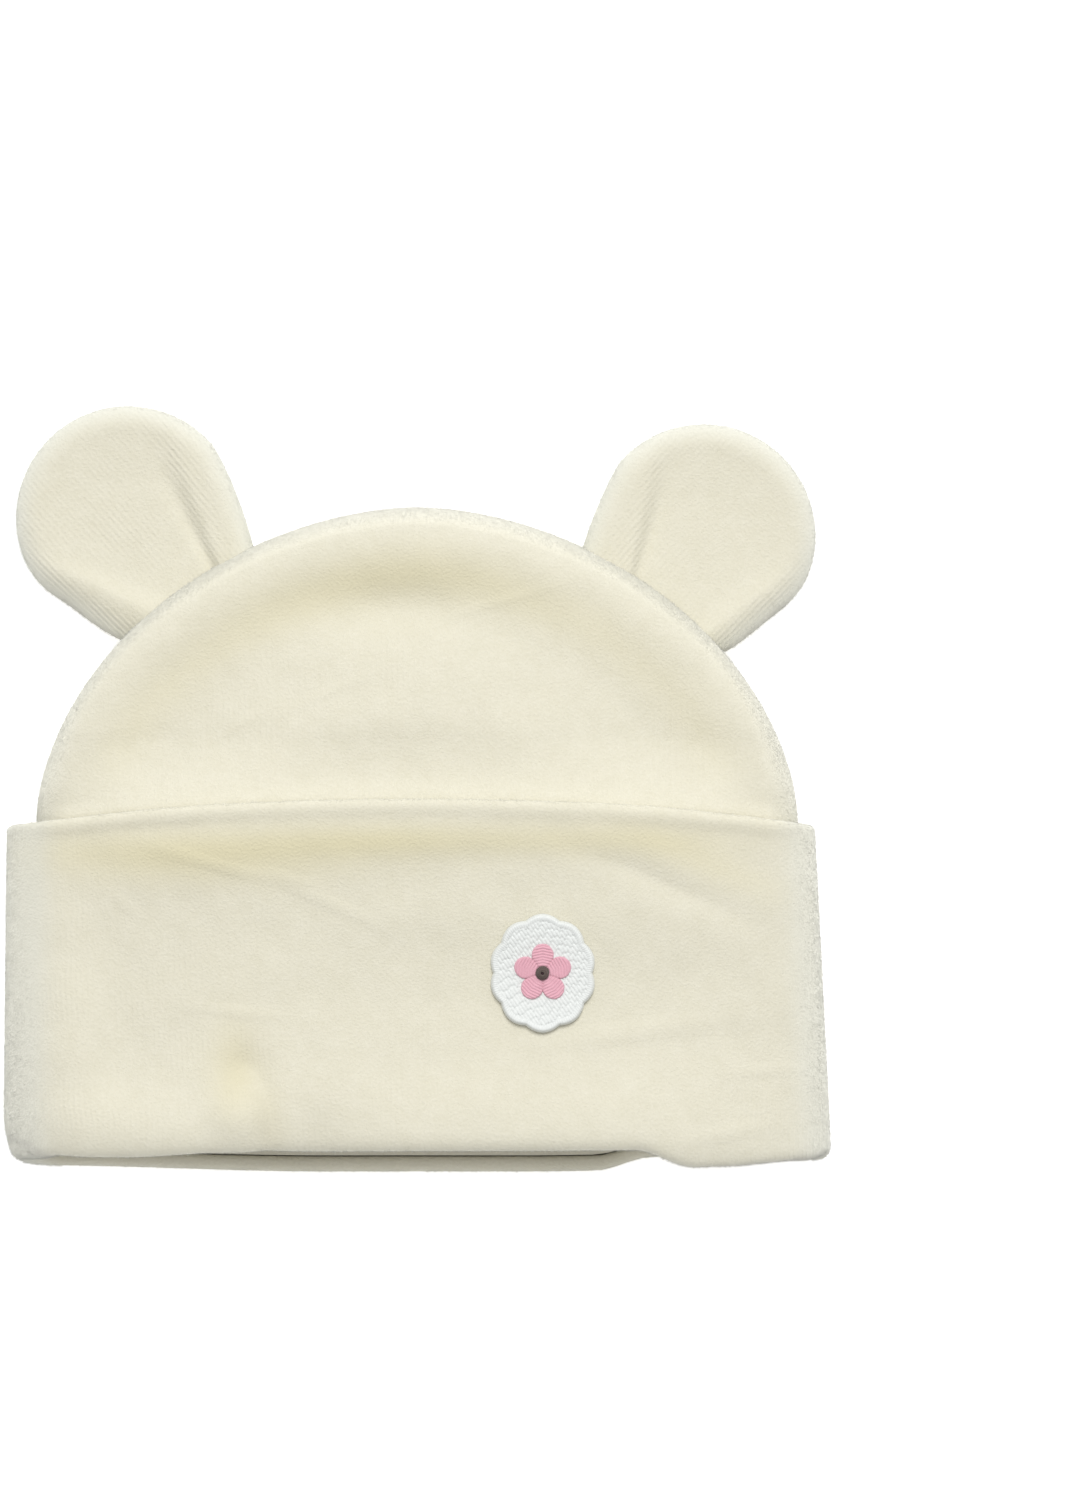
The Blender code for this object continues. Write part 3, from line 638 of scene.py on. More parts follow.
class Nodes:
    """A short way to lay out one material's nodes, from left to right as they are added."""

    def __init__(self, name):
        self.material = bpy.data.materials.get(name) or bpy.data.materials.new(name)
        self.material.use_nodes = True
        self.tree = self.material.node_tree
        self.tree.nodes.clear()
        self.shader = self.add("ShaderNodeBsdfPrincipled")
        self.add("ShaderNodeOutputMaterial", {"Surface": self.shader.outputs[0]})

    def add(self, kind, inputs=None, **settings):
        """A new node, with its settings and then its inputs."""
        node = self.tree.nodes.new(kind)
        node.location = (220 * len(self.tree.nodes), 0)
        for key, value in settings.items():
            setattr(node, key, value)
        self.feed(node, inputs or {})
        return node

    def feed(self, node, inputs):
        """Sets the node's inputs, by name or number, or joins another node's output to them."""
        for key, value in inputs.items():
            if isinstance(value, bpy.types.NodeSocket):
                self.tree.links.new(value, node.inputs[key])
            else:
                node.inputs[key].default_value = value

    def place(self):
        return self.add("ShaderNodeTexCoord").outputs["Object"]

    def carried(self, key):
        """A share that the mesh's points carry."""
        return self.add("ShaderNodeAttribute", attribute_name=key).outputs["Fac"]

    def math(self, operation, first, second=0.0, clamp=False):
        return self.add("ShaderNodeMath", {0: first, 1: second}, operation=operation, use_clamp=clamp).outputs[0]

    def noise(self, place, size, detail=2.0, roughness=0.5):
        inputs = {"Vector": place, "Scale": 1 / size, "Detail": detail, "Roughness": roughness}
        return self.add("ShaderNodeTexNoise", inputs).outputs["Fac"]

    def blend(self, share, first, second):
        """The colour between two, by a share from a texture."""
        first, second = (end if isinstance(end, bpy.types.NodeSocket) else (*end, 1) for end in (first, second))
        inputs = {"Factor": share, "A": first, "B": second}
        return self.add("ShaderNodeMix", inputs, data_type="RGBA", clamp_factor=True).outputs["Result"]

    def bump(self, height, depth, before=None):
        inputs = {"Distance": depth, "Height": height}
        if before:
            inputs["Normal"] = before
        return self.add("ShaderNodeBump", inputs).outputs["Normal"]


def velour_finish(look):
    """Cream velour: wales by the UV map's distance round the piece, tufts and mottling by object place."""
    n = Nodes("velour")
    place = n.place()
    cloth = n.add("ShaderNodeUVMap", uv_map="Cloth").outputs["UV"]
    across = n.add("ShaderNodeSeparateXYZ", {0: cloth}).outputs["X"]
    wander = n.math("MULTIPLY", n.noise(place, 0.006), 1.6)
    phase = n.math("ADD", n.math("MULTIPLY", across, math.tau / look.wale), wander)
    opened = n.math("MULTIPLY", n.math("SUBTRACT", n.noise(place, 0.016), 0.42), 2.2, clamp=True)
    wale = n.math("MULTIPLY", n.math("SINE", phase), n.math("ADD", opened, n.carried("ribbed")))
    tuft = n.noise(place, look.tuft, detail=3.0, roughness=0.6)
    mottle = n.noise(place, 0.004, detail=4.0, roughness=0.62)
    shade = n.math("ADD", n.math("MULTIPLY", tuft, 0.60), n.math("MULTIPLY", wale, 0.035))
    shade = n.math("ADD", shade, n.math("MULTIPLY", mottle, 0.50))
    share = n.math("MULTIPLY", n.math("SUBTRACT", shade, 0.28), 1.7, clamp=True)
    n.feed(n.shader, {"Normal": n.bump(tuft, TUFT_RELIEF, n.bump(wale, WALE_RELIEF))})
    return pile_finish(n, look, n.blend(share, look.deep_cream, look.cream))


def hair_finish(look):
    """The pile's hairs: the velour's colours, a little lighter at the tips."""
    n = Nodes("velour_hair")
    share = n.math("MULTIPLY", n.noise(n.place(), 0.0012, detail=1.0), 1.2, clamp=True)
    return pile_finish(n, look, n.blend(share, look.cream, look.hair_tip))


def pile_finish(n, look, colour):
    """The dull, light-edged look that the velour and its hairs share. The colour carries painted light: warmer and
    darker by the painted warm shade, greyer by the painted edge sheen and darker by the painted dark shade."""
    for key, other in (("painted_warm_shade", look.painted_warm_shade_cream), ("painted_edge_sheen", look.painted_edge_sheen_cream), ("painted_dark_shade", look.painted_dark_shade_cream)):
        colour = n.blend(n.carried(key), colour, other)
    n.feed(n.shader, {"Base Color": colour, "Roughness": 0.95, "Specular IOR Level": 0.15})
    sheen_tint = (0.98, 1.0, 0.96, 1)
    n.feed(n.shader, {"Sheen Weight": look.sheen, "Sheen Roughness": 0.50, "Sheen Tint": sheen_tint})
    return n.material


def thread_finish(name, colour):
    """Embroidery thread: fine twist across the strand, with strands a little lighter and darker."""
    n = Nodes(name)
    place = n.place()
    strand = n.noise(place, 0.0007, detail=2.0)
    fibre = n.noise(place, 0.00012, detail=1.0)
    darker = tuple(0.80 * part for part in colour)
    share = n.math("ADD", n.math("MULTIPLY", strand, 0.9), n.math("MULTIPLY", fibre, 0.3), clamp=True)
    n.feed(n.shader, {"Base Color": n.blend(share, darker, tuple(colour)), "Normal": n.bump(fibre, FIBRE_RELIEF)})
    n.feed(n.shader, {"Roughness": 0.55, "Specular IOR Level": 0.35, "Sheen Weight": 0.25})
    return n.material


class HAT_OT_crown(bpy.types.Operator):
    """Hollow crown of doubled velour, with its puffed edge"""

    bl_idname = "hat.crown"
    bl_label = "Crown"

    def execute(self, context):
        shape, look = HatShape(context.scene.hat_sizes), context.scene.hat_velour
        s = shape.s
        turns = loop_turns(front=270, back=70)
        first = (shape.fold_depth + s.seat_gap) / s.cuff_height
        outer = []
        for share in first + (1 - first) * np.linspace(0, 1, CROWN_LOOPS) ** 0.8:
            y = shape.sleeve_y(turns, share)
            outer.append(shape.sack(turns, y, shape.half_width(y), CROWN_CREASES))
        lift = shape.sleeve_y(turns, 1) - shape.shoulder_y
        n, steps = s.crown_roundness, DOME_LOOPS
        for step in range(1, steps):
            climb = math.pi / 2 * step / steps
            y = shape.shoulder_y + s.crown_rise * math.sin(climb) ** (2 / n) + lift * (1 - step / steps) ** 2
            share = np.clip((y - shape.shoulder_y) / s.crown_rise, 0, 1)
            edge = shape.half_crown * (1 - share**n) ** (1 / n)
            half = np.minimum(shape.half_crown * math.cos(climb) ** (2 / n), edge)
            outer.append(shape.sack(turns, y, half, CROWN_CREASES))
        outer = np.array(outer)
        normals = unit_normals(outer)
        top = (0.0, shape.shoulder_y + s.crown_rise, s.seam_height)
        inner = (outer - s.cloth * normals)[: -steps // 8 : 3][::-1]
        points = np.concatenate([inner, outer])
        lining_top = (0.0, inner[0, :, 1].max() + 0.0005, s.seam_height)
        x, y, front = points[..., 0], points[..., 1], np.sin(turns) > 0
        from_edge = shape.inside(x, y)
        # Painted warm shade in the folds, painted edge sheen round the edges, and painted shade behind the roll at the
        # top.
        tones = {
            "painted_warm_shade": shape.painted_warm_shade_share(x, y) * front,
            "painted_edge_sheen": tone(from_edge, *CROWN_PAINTED_SHEEN),
            "painted_dark_shade": tone(from_edge - CROWN_PAINTED_SHADE_IN, *CROWN_PAINTED_SHADE) * bell(x, CROWN_PAINTED_SHADE_REACH) * front,
        }
        mesh = lay_mesh("crown_velour", points, lining_top, top, uv_from=len(turns) // 2, **tones)
        crown = add_piece("crown_velour", mesh, velour_finish(look), ["crown"])
        shares = {key: field[len(inner) + BARE_LOOPS :] for key, field in tones.items()}
        pile = add_pile("crown_pile", outer[BARE_LOOPS:], normals[BARE_LOOPS:], shares, look, seed=11)
        return {"FINISHED"}


class HAT_OT_cuff(bpy.types.Operator):
    """Turned-up cuff: a hook-shaped section of velour carried round the hat, with its creases"""

    bl_idname = "hat.cuff"
    bl_label = "Cuff"

    def execute(self, context):
        shape, look = HatShape(context.scene.hat_sizes), context.scene.hat_velour
        turns = loop_turns(front=310, back=80)
        points = self.section(shape, turns)
        tones = self.tones(shape, turns, points)
        mesh = lay_mesh("cuff_velour", points, wrap_rows=True, uv_from=len(turns) // 2, **tones)
        cuff = add_piece("cuff_velour", mesh, velour_finish(look), ["cuff"])
        outside = slice(INNER_LOOPS, len(points) - 4)
        normals = -unit_normals(points, wrap_rows=True)[outside]
        shares = {key: field[outside] for key, field in tones.items()}
        pile = add_pile("cuff_pile", points[outside], normals, shares, look, seed=12)
        return {"FINISHED"}

    def section(self, shape, turns):
        """Loops up the inner face, over the upper edge, down the outer face and round the rim, with the
        slack at the side folds added: slack (1 - d / reach)^2, half as much at the rim."""
        s = shape.s
        foot = shape.fold_depth / s.cuff_height
        last = 1 - s.cloth / 2 / s.cuff_height
        inner, outer = s.seat_gap, s.seat_gap + s.cloth
        rows = [shape.sleeve(turns, share, inner) for share in np.linspace(foot, last, INNER_LOOPS)]
        for angle in np.radians(np.linspace(180, 0, EDGE_LOOPS + 1)[1:-1]):
            rise = s.cloth / 2 * math.sin(angle) / s.cuff_height
            offset = inner + s.cloth / 2 * (1 + math.cos(angle))
            rows.append(shape.sleeve(turns, last + rise, offset, CUFF_CREASES))
        rows += [shape.sleeve(turns, share, outer, CUFF_CREASES) for share in np.linspace(last, foot, CUFF_LOOPS)]
        middle, reach = (outer - s.cloth) / 2, (outer + s.cloth) / 2
        for angle in np.radians(np.linspace(0, 180, RIM_LOOPS + 1)[1:-1]):
            drop = shape.fold_depth * math.sin(angle) ** RIM_SQUARENESS / s.cuff_height
            aside = math.copysign(abs(math.cos(angle)) ** RIM_SQUARENESS, math.cos(angle))
            rows.append(shape.sleeve(turns, foot - drop, middle + reach * aside, CUFF_CREASES))
        y = shape.sleeve_y(turns, 0.5)
        inside = shape.inside(shape.centre_line(y) + shape.half_width(y) * np.cos(turns), y)
        sideways = np.where(np.cos(turns) > 0, s.slack_right, -s.slack_left)
        sideways = sideways * np.clip(1 - inside / s.slack_width, 0, 1) ** 2
        for row in rows:
            from_rim = row[:, 1] - shape.sleeve_y(turns, 0.0)
            row[:, 0] += sideways * (1 - SLACK_RIM_SHARE * bell(from_rim, SLACK_RIM_WIDTH))
        rows.append(shape.sleeve(turns, foot, -s.cloth))
        return np.array(rows)

    def tones(self, shape, turns, points):
        """Painted shade and sheen: warm painted shade in the hollows, greyer painted edge sheen along the edges, and
        dark
        painted shade in the mouth: round the front rim's turn to the right of the notch, over the back rim's turn, on
        the back's inner face and in closed folds."""
        x, y, front = points[..., 0], points[..., 1], np.sin(turns) > 0
        from_rim = y - shape.sleeve_y(turns, 0.0)
        round_rim = np.zeros((len(points), 1))
        round_rim[-RIM_LOOPS:, 0] = np.linspace(1 / RIM_LOOPS, 1, RIM_LOOPS)
        # Painted shade round the front rim's turn and over the back rim's turn; below, painted shade on the back's
        # inner face.
        in_front = ramp(round_rim, 0.10, 0.30) * ramp(np.sin(turns), 0, 0.2)
        in_front = in_front * RIM_PAINTED_SHADE * ramp(np.cos(turns), 0.50, 0.20)
        behind = ramp(round_rim, 0.15, 0.25) * ramp(-np.sin(turns), 0, 0.35)
        behind = behind * (0.04 + RIM_BACK_PAINTED_SHADE * ramp(from_rim, 0, 0.0036))
        painted_dark_shade = (in_front + behind) * ramp(np.cos(turns), -0.98, 0.10)
        painted_dark_shade[:INNER_LOOPS] = MOUTH_PAINTED_SHADE * ramp(-np.sin(turns), 0, 0.15)
        painted_dark_shade += shape.folds(x, y, PAINTED_SHADE_LINES) * front
        return {
            "painted_warm_shade": shape.painted_warm_shade_share(x, y) * front,
            "painted_edge_sheen": tone(shape.inside(x, y), *CUFF_PAINTED_SHEEN) + tone(from_rim, *RIM_PAINTED_SHEEN),
            "painted_dark_shade": np.clip(painted_dark_shade, 0, 1),
        }


class EarShape:
    """One ear's surfaces as formulas of the place across and along its axis."""

    rim_height, rim_in, rim_width = 0.0002, 0.0040, 0.0026
    dish_in, dish_steps_in = 0.0030, (-0.004, 0.014)
    outer_run, ridge_inner, ridge_outer = 0.004, 0.0030, 0.0050
    nick_depth = 0.0008
    ribs_in, ribs_width, slope_in, slope_width = 0.0020, 0.0030, 0.0030, 0.0022
    flat_run, flat_from = 0.008, 0.006

    def __init__(self, shape, ears, ear):
        self.shape, self.ears, self.ear, self.side = shape, ears, ear, ear["side"]
        self.neck, self.lobe = ears.neck * ear["neck_share"], ears.width / 2
        self.length = self.neck + self.lobe
        seat_across = ear["seat_share"] * shape.half_crown
        self.seat = np.array([self.side * seat_across, shape.shoulder_y + shape.outline_height(seat_across)])
        lean = shape.outline_lean(seat_across) + math.radians(ear["extra_lean"])
        self.out_axis = np.array([self.side * math.sin(lean), math.cos(lean)])
        self.across_axis = np.array([self.out_axis[1], -self.out_axis[0]])

    def plain(self, across, out):
        """Plain position: the seat, so far across, to the right of the axis, and so far out along it."""
        return self.seat + across[..., None] * self.across_axis + out[..., None] * self.out_axis

    def height(self, across, along, inside, front):
        """Height of the ear's face or back. The face is a rounded rim round a dish, with a sharp-creased
        folded margin on the crown's side and a ridged one on the outer side; both fade out along the ear."""
        ears, ear, length = self.ears, self.ear, self.length
        share = np.clip(along / length, 0, 1)
        seam_lift = max(self.shape.s.seam_height - ears.thickness / 2, 0)
        middle = ears.thickness / 2 + seam_lift * (1 - share) ** 2
        back = middle - ears.thickness / 2 * quarter_round(inside, ears.edge_width)
        edge = quarter_round(inside, ears.edge_width, ears.squareness)
        sloped = quarter_round(inside, ear["bevel"], 1.5)
        outer_part = smooth(across * self.side / self.outer_run) * (1 - ramp(along, 0.42 * length, 0.35 * length))
        body = ears.thickness / 2 * (edge + (sloped - edge) * outer_part)
        rim = self.rim_height * bell(inside - self.rim_in, self.rim_width)
        dish = ears.dish * ramp(inside, self.dish_in, ears.dish_width) * ramp(along, *self.dish_steps_in)
        fade = 1 - ramp(along, 0.30 * length, 0.50 * length)
        past_crease = self.past_crease(across, along)
        sharp = ears.crease_width * (1 + 3.5 * share)
        inner = ear["inner_height"] * smooth(past_crease / sharp / 2 + 0.5) * fade * edge
        nick = -self.nick_depth * bell(past_crease + sharp / 2, sharp) * fade**2
        past_ridge = self.side * across - (ear["ridge_seat"] * self.lobe + ear["ridge_spread"] * along)
        run = np.where(past_ridge > 0, self.ridge_outer, self.ridge_inner)
        outer = ear["outer_height"] * bell(past_ridge, run) * fade * edge
        return np.where(front, middle + body + (rim - dish) * edge + inner + nick + outer, back)

    def past_crease(self, across, along):
        """How far a place lies past the inner crease, towards the crown's side."""
        return -self.side * across - (self.ear["crease_seat"] * self.lobe + self.ear["crease_spread"] * along)

    def ribs(self, across, along, inside):
        """How plainly the knit's ribs show: Gaussians beside the inner crease and over the outer slope."""
        fade = 1 - ramp(along, 0.45 * self.length, 0.40 * self.length)
        by_crease = bell(self.past_crease(across, along) - self.ribs_in, self.ribs_width)
        on_slope = bell(inside - self.slope_in, self.slope_width) * (across * self.side > 0)
        return (0.5 * by_crease + on_slope) * fade

    def half_width(self, along, wider, flattening):
        """Half width: base + (lobe - base) (1 - (1 - t)^1.5) along the neck, then sqrt(lobe^2 - d^2),
        less a Gaussian where the side is pulled flat."""
        base = self.ears.base_width / 2 + wider
        if along < self.neck:
            half = base + (self.lobe - base) * (1 - (1 - along / self.neck) ** 1.5)
        else:
            half = self.on_lobe(along)
        flat = bell(along - self.ear["flat_at"], self.flat_run) * smooth(along / self.flat_from)
        return half - flattening * flat

    def on_lobe(self, along):
        return math.sqrt(max(self.lobe**2 - (along - self.neck) ** 2, 0))

    def from_edge(self, half, across, along):
        """Distance in from the side along the neck, and from the tip's round past it."""
        if along < self.neck:
            return half - np.abs(across)
        round_across = across * (self.on_lobe(along) / np.maximum(half, 1e-6))
        return self.lobe - np.hypot(round_across, along - self.neck)

    def seat_on_crown(self, across, height):
        """How far out along the ear's axis the crown's surface lies at that height, by halving. The ear
        starts a seat gap inside the surface in front and as much outside it behind."""
        shape, s = self.shape, self.shape.s
        crest = s.puff_rise * math.exp(-((s.puff_crest / s.puff_spread) ** 2))
        over = np.clip((height - s.seam_height) / (s.roll_rise + crest), 0, 1)
        under = np.clip((s.seam_height - height) / s.seam_height, 0, 1)
        width = np.where(over > under, s.crown_roll, s.roll_width)
        wanted = width * (1 - np.sqrt(1 - np.maximum(over, under) ** 2))
        low, high = np.full(across.shape, -0.016), np.full(across.shape, 0.004)
        for _ in range(30):
            middle = (low + high) / 2
            plain = self.plain(across, middle)
            deep = shape.signed_inside(plain[..., 0], plain[..., 1]) > wanted
            low, high = np.where(deep, middle, low), np.where(deep, high, middle)
        return high + np.where(over > under, -s.seat_gap, s.seat_gap)


class HAT_OT_ears(bpy.types.Operator):
    """Two padded ears, folded at the base and seated on the crown's edge"""

    bl_idname = "hat.ears"
    bl_label = "Ears"

    def execute(self, context):
        shape, look = HatShape(context.scene.hat_sizes), context.scene.hat_velour
        velour = velour_finish(look)
        turns = np.arange(220) * math.tau / 220
        front = np.sin(turns) >= 0
        for ear in rows_of(EAR_COLUMNS, EARS):
            form = EarShape(shape, context.scene.hat_ears, ear)
            neck, lobe, side = form.neck, form.lobe, form.side
            on_neck = np.linspace(0, neck, 60, endpoint=False)
            on_lobe = neck + lobe * np.sin(np.linspace(0, math.pi / 2, 70, endpoint=False))
            rows, margins, ribs, ear_shade_reach = [], [], [], []
            for along in (*on_neck, *on_lobe):
                inner_half = form.half_width(along, ear["inner_base"], 0.0)
                outer_half = form.half_width(along, ear["outer_base"], form.ears.flattening)
                half = np.where(np.cos(turns) * side > 0, outer_half, inner_half)
                across = half * np.cos(turns)
                inside = form.from_edge(half, across, along)
                height = form.height(across, along, inside, front)
                start = form.seat_on_crown(across, height) * (1 - min(along / neck, 1)) ** 2
                rows.append(np.column_stack([form.plain(across, along + start), height]))
                margins.append(inside)
                ear_shade_reach.append(smooth(across * side / EAR_SHADE_SIDE) * (1 - ramp(along, *EAR_SHADE_STEP)))
                ribs.append(form.ribs(across, along, inside) * (np.sin(turns) > 0))
            points, margins = np.array(rows), np.array(margins)
            tip = (*(form.seat + form.length * form.out_axis), form.ears.thickness / 2)
            # Painted edge sheen round the ear's edges, and painted shade along its outer edge by the crown.
            tones = {
                "painted_edge_sheen": tone(margins, *EAR_PAINTED_SHEEN),
                "painted_dark_shade": tone(margins, *EAR_PAINTED_SHADE) * np.array(ear_shade_reach),
            }
            base = points[0].mean(axis=0)
            mesh = lay_mesh(ear["name"], points, base, tip, uv_from=len(turns) // 4, ribbed=np.array(ribs), **tones)
            piece = add_piece(ear["name"], mesh, velour, [ear["node"]])
            add_pile(ear["node"] + "_pile", points, unit_normals(points), tones, look, seed=13 + side)
        return {"FINISHED"}


def patch_level(shape, patch, u, v):
    """Height of the cuff's face under a point of the patch: front height + wall sqrt(1 + slope^2)."""
    x, y = shape.place(patch.across, patch.along)
    x, y, step = x + u, y + v, 5e-4
    slope_x = (shape.front_height(x + step, y) - shape.front_height(x - step, y)) / (2 * step)
    slope_y = (shape.front_height(x, y + step) - shape.front_height(x, y - step)) / (2 * step)
    wall = (shape.s.seat_gap + shape.s.cloth) * np.sqrt(1 + slope_x**2 + slope_y**2)
    return shape.front_height(x, y) + wall


def thread_rows(u, v, thread, stitch, heading, seed):
    """Rows of stitches: sqrt(1 - w^2) over each thread's width, dipping where one stitch meets the next."""
    across = (u * math.cos(heading) + v * math.sin(heading)) / thread
    along = (v * math.cos(heading) - u * math.sin(heading)) / stitch
    row = np.floor(across)
    start = np.modf(np.abs(np.sin(row * 12.9898 + seed) * 43758.5453))[0]
    crown = np.sqrt(np.clip(1 - (2 * (across - row) - 1) ** 2, 0, 1))
    end = np.abs(along + start - np.round(along + start)) * stitch
    return crown - 0.9 * bell(end, 0.4 * thread)


def raised_badge(name, shape, patch, radius, level, thickness, edge, relief, rows):
    """A closed pad on the cuff: rings from the middle of its underside, round its edge, to its middle.
    Height = cuff face + level + thickness Q(distance in from the edge) + relief."""
    turns = np.arange(radius.size) * math.tau / radius.size
    under = np.linspace(0.15, 1, 5)[:-1]
    over = np.sin(np.linspace(math.pi / 2, 0.01, rows))
    x, y = shape.place(patch.across, patch.along)
    points = []
    for share, top in [(share, False) for share in under] + [(share, True) for share in over]:
        u, v = share * radius * np.cos(turns), share * radius * np.sin(turns)
        height = patch_level(shape, patch, u, v) + level
        if top:
            inside = (1 - share) * radius
            height += thickness * quarter_round(inside, edge) + relief(u, v, inside, turns)
        points.append(np.stack([x + u, y + v, height], axis=-1))
    points = np.array(points)
    return lay_mesh(name, points, points[0].mean(axis=0), points[-1].mean(axis=0))


class HAT_OT_patch(bpy.types.Operator):
    """Embroidered patch: filled ground with a satin edge, a satin-stitched blossom and its knot"""

    bl_idname = "hat.patch"
    bl_label = "Patch"

    def execute(self, context):
        shape, patch = HatShape(context.scene.hat_sizes), context.scene.hat_patch
        for mesh, slot, colour, node in (
            (self.ground(shape, patch), "white_thread", patch.white, "patch_backing"),
            (self.blossom(shape, patch), "pink_thread", patch.pink, "patch_blossom"),
            (self.knot(shape, patch), "brown_thread", patch.brown, "patch_centre"),
        ):
            add_piece(mesh.name, mesh, thread_finish(slot, colour), [node])
        return {"FINISHED"}

    def ground(self, shape, patch):
        """Oval with scalloped edge, stitched all over, and a band of satin stitch along its edge."""
        turns = np.arange(560) * math.tau / 560
        oval = 1 / np.hypot(np.cos(turns) / (patch.width / 2), np.sin(turns) / (patch.height / 2))
        radius = oval - patch.scallop_depth * (1 - np.abs(np.sin(patch.scallops / 2 * turns)))
        band, threads, stitch = 0.0017, 140, 0.0021
        fill_height, strand_height, band_height = 0.00019, 0.00009, 0.00022

        def relief(u, v, inside, around):
            fill = fill_height * thread_rows(u, v, 1.5 * patch.thread, stitch, 0.6, 3.0)
            strands = strand_height * np.abs(np.cos(threads / 2 * around))
            satin = strands + band_height * np.sin(math.pi * np.clip(inside / band, 0, 1))
            on_edge = smooth((band - inside) / 0.0003)
            return (fill * (1 - on_edge) + satin * on_edge) * smooth(inside / 0.0004)

        return raised_badge("patch_ground", shape, patch, radius, 0.0001, patch.thickness, 0.0008, relief, rows=84)

    def blossom(self, shape, patch):
        """Lobes |sin(n t / 2 + 45 deg)|^0.7, stitched across each petal from its middle line."""
        turns = np.arange(500) * math.tau / 500
        lobe = np.abs(np.sin(patch.petals / 2 * turns + math.pi / 4))
        radius = patch.blossom / 2 * (0.60 + 0.40 * lobe**0.7)
        strand_height, parting_depth = 0.00020, 0.00016

        def relief(u, v, inside, around):
            middle = np.round((around + math.pi / 10) * patch.petals / math.tau) * math.tau / patch.petals
            middle = middle - math.pi / 10
            lengthwise = u * np.cos(middle) + v * np.sin(middle)
            sideways = np.abs(v * np.cos(middle) - u * np.sin(middle))
            strand = np.abs(np.cos(math.pi * (lengthwise + 0.45 * sideways) / (1.4 * patch.thread)))
            parting = parting_depth * bell(sideways, 0.00025)
            return (strand_height * strand - parting) * smooth(inside / 0.0004)

        thickness = patch.blossom_thickness
        return raised_badge("patch_blossom_threads", shape, patch, radius, 0.0011, thickness, 0.0007, relief, rows=60)

    def knot(self, shape, patch):
        """A thread wound round and up: a tube of radius r along a tightening spiral."""
        along = np.linspace(0, 1, 150)
        strand = patch.thread * 0.62
        reach = (patch.knot / 2 - strand) * (1 - 0.72 * along)
        angle = along * KNOT_WINDS * math.tau
        rise = 0.0017 + patch.thickness - 0.0009 + 0.0008 * smooth(along * 1.3)
        x, y = shape.place(patch.across, patch.along)
        u, v = reach * np.cos(angle), reach * np.sin(angle)
        path = np.stack([x + u, y + v, patch_level(shape, patch, 0 * u, 0 * v) + rise], axis=-1)
        tangent = unit(np.gradient(path, axis=0))
        side = unit(np.cross(tangent, [0, 0, 1]))
        up = np.cross(side, tangent)
        turns = np.arange(14) * math.tau / 14
        ring = np.cos(turns)[None, :, None] * side[:, None, :] + np.sin(turns)[None, :, None] * up[:, None, :]
        thick = strand * np.sqrt(np.clip(1 - (2 * along - 1) ** 12, 0.02, 1))[:, None, None]
        ends = path[0] - tangent[0] * strand / 2, path[-1] + tangent[-1] * strand / 2
        return lay_mesh("patch_knot", path[:, None, :] + ring * thick, *ends)


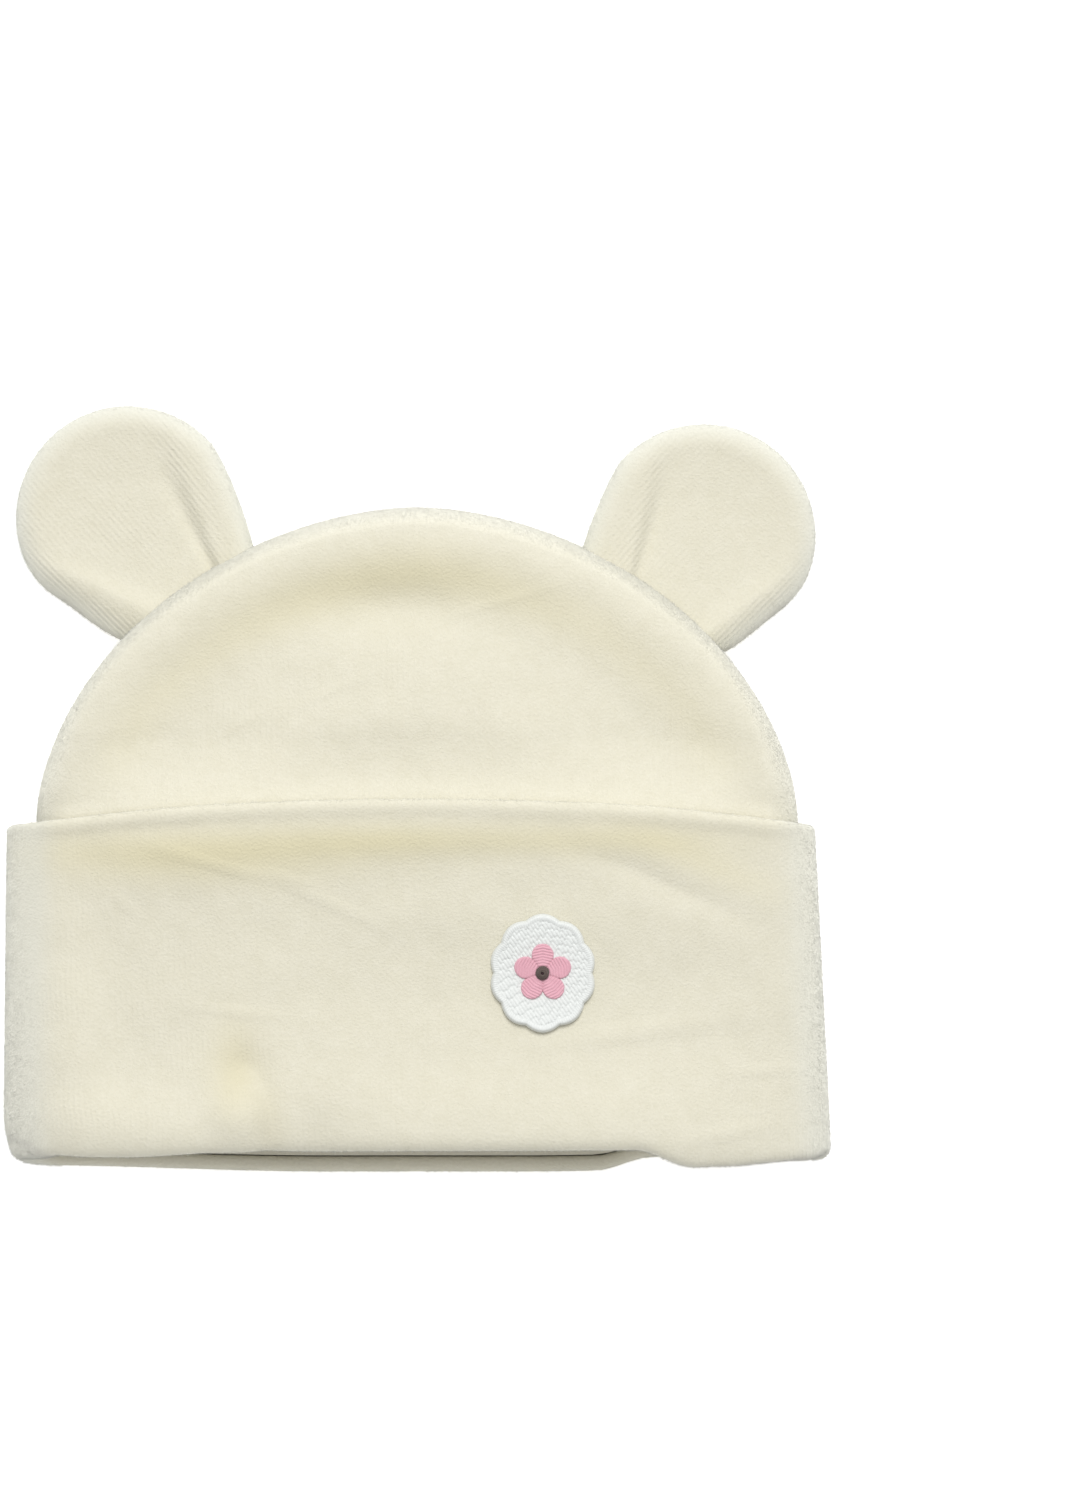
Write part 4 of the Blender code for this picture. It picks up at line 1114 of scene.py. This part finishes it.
class HAT_OT_stage(bpy.types.Operator):
    """Pale floor, soft light and the camera straight above"""

    bl_idname = "hat.stage"
    bl_label = "Stage"

    def execute(self, context):
        settings = context.scene.hat_stage
        self.add_floor(context, settings)
        self.add_lights(context, settings)
        self.add_camera(context, settings)
        context.scene.view_settings.view_transform = "Standard"
        return {"FINISHED"}

    def add_object(self, context, name, data, place):
        """Puts a floor, lamp or camera in the scene at a place."""
        made = bpy.data.objects.new(name, data)
        made.location = place
        context.scene.collection.objects.link(made)
        return made

    def add_floor(self, context, settings):
        mesh = bpy.data.meshes.new("floor")
        reach = 3.0
        corners = [(-reach, -reach, 0), (reach, -reach, 0), (reach, reach, 0), (-reach, reach, 0)]
        mesh.from_pydata(corners, [], [(0, 1, 2, 3)])
        n = Nodes("floor")
        n.feed(n.shader, {"Base Color": (0.93, 0.93, 0.93, 1), "Roughness": 0.9, "Specular IOR Level": 0.1})
        n.feed(n.shader, {"Emission Color": (1, 1, 1, 1), "Emission Strength": settings.table_glow})
        mesh.materials.append(n.material)
        self.add_object(context, "floor", mesh, (0, 0, FLOOR_Z))

    def add_lights(self, context, settings):
        world = bpy.data.worlds.new("sky")
        world.use_nodes = True
        background = world.node_tree.nodes["Background"]
        background.inputs["Color"].default_value = (1, 1, 1, 1)
        background.inputs["Strength"].default_value = settings.sky
        context.scene.world = world
        lamp = bpy.data.lights.new("key", "AREA")
        lamp.shape = "DISK"
        lamp.size = KEY_SIZE
        lamp.energy = settings.key
        key = self.add_object(context, "key", lamp, KEY_PLACE)
        key.rotation_euler = (-key.location).to_track_quat("-Z", "Y").to_euler()

    def add_camera(self, context, settings):
        data = bpy.data.cameras.new("camera")
        data.sensor_width = 36.0
        frame_height = settings.view_width * PHOTO_SIZE[1] / PHOTO_SIZE[0]
        data.lens = data.sensor_width * (settings.distance - settings.view_plane) / frame_height
        data.clip_end = 20
        place = Vector(settings.look_at) + Vector((0, 0, settings.distance))
        context.scene.camera = self.add_object(context, "camera", data, place)


class HAT_PT_panel(bpy.types.Panel):
    """The hat's sizes and finishes"""

    bl_idname = "HAT_PT_panel"
    bl_label = "Hat"
    bl_space_type = "VIEW_3D"
    bl_region_type = "UI"
    bl_category = "Hat"

    def draw(self, context):
        for group in GROUPS:
            settings = getattr(context.scene, group)
            box = self.layout.box()
            for key in settings.bl_rna.properties.keys():
                if key not in ("rna_type", "name"):
                    box.prop(settings, key)
        for operator in OPERATORS:
            self.layout.operator(operator.bl_idname)


GROUPS = {
    "hat_sizes": HatSizes,
    "hat_ears": EarSizes,
    "hat_velour": VelourFinish,
    "hat_patch": PatchFinish,
    "hat_stage": StageSettings,
}
OPERATORS = (HAT_OT_crown, HAT_OT_cuff, HAT_OT_ears, HAT_OT_patch, HAT_OT_stage)


def register():
    for made in (*GROUPS.values(), *OPERATORS, HAT_PT_panel):
        bpy.utils.register_class(made)
    for name, group in GROUPS.items():
        setattr(bpy.types.Scene, name, PointerProperty(type=group))


def unregister():
    for name in GROUPS:
        delattr(bpy.types.Scene, name)
    for made in reversed((*GROUPS.values(), *OPERATORS, HAT_PT_panel)):
        bpy.utils.unregister_class(made)


def main():
    register()
    bpy.ops.hat.crown()
    bpy.ops.hat.cuff()
    bpy.ops.hat.ears()
    bpy.ops.hat.patch()
    bpy.ops.hat.stage()


if __name__ == "__main__":
    main()
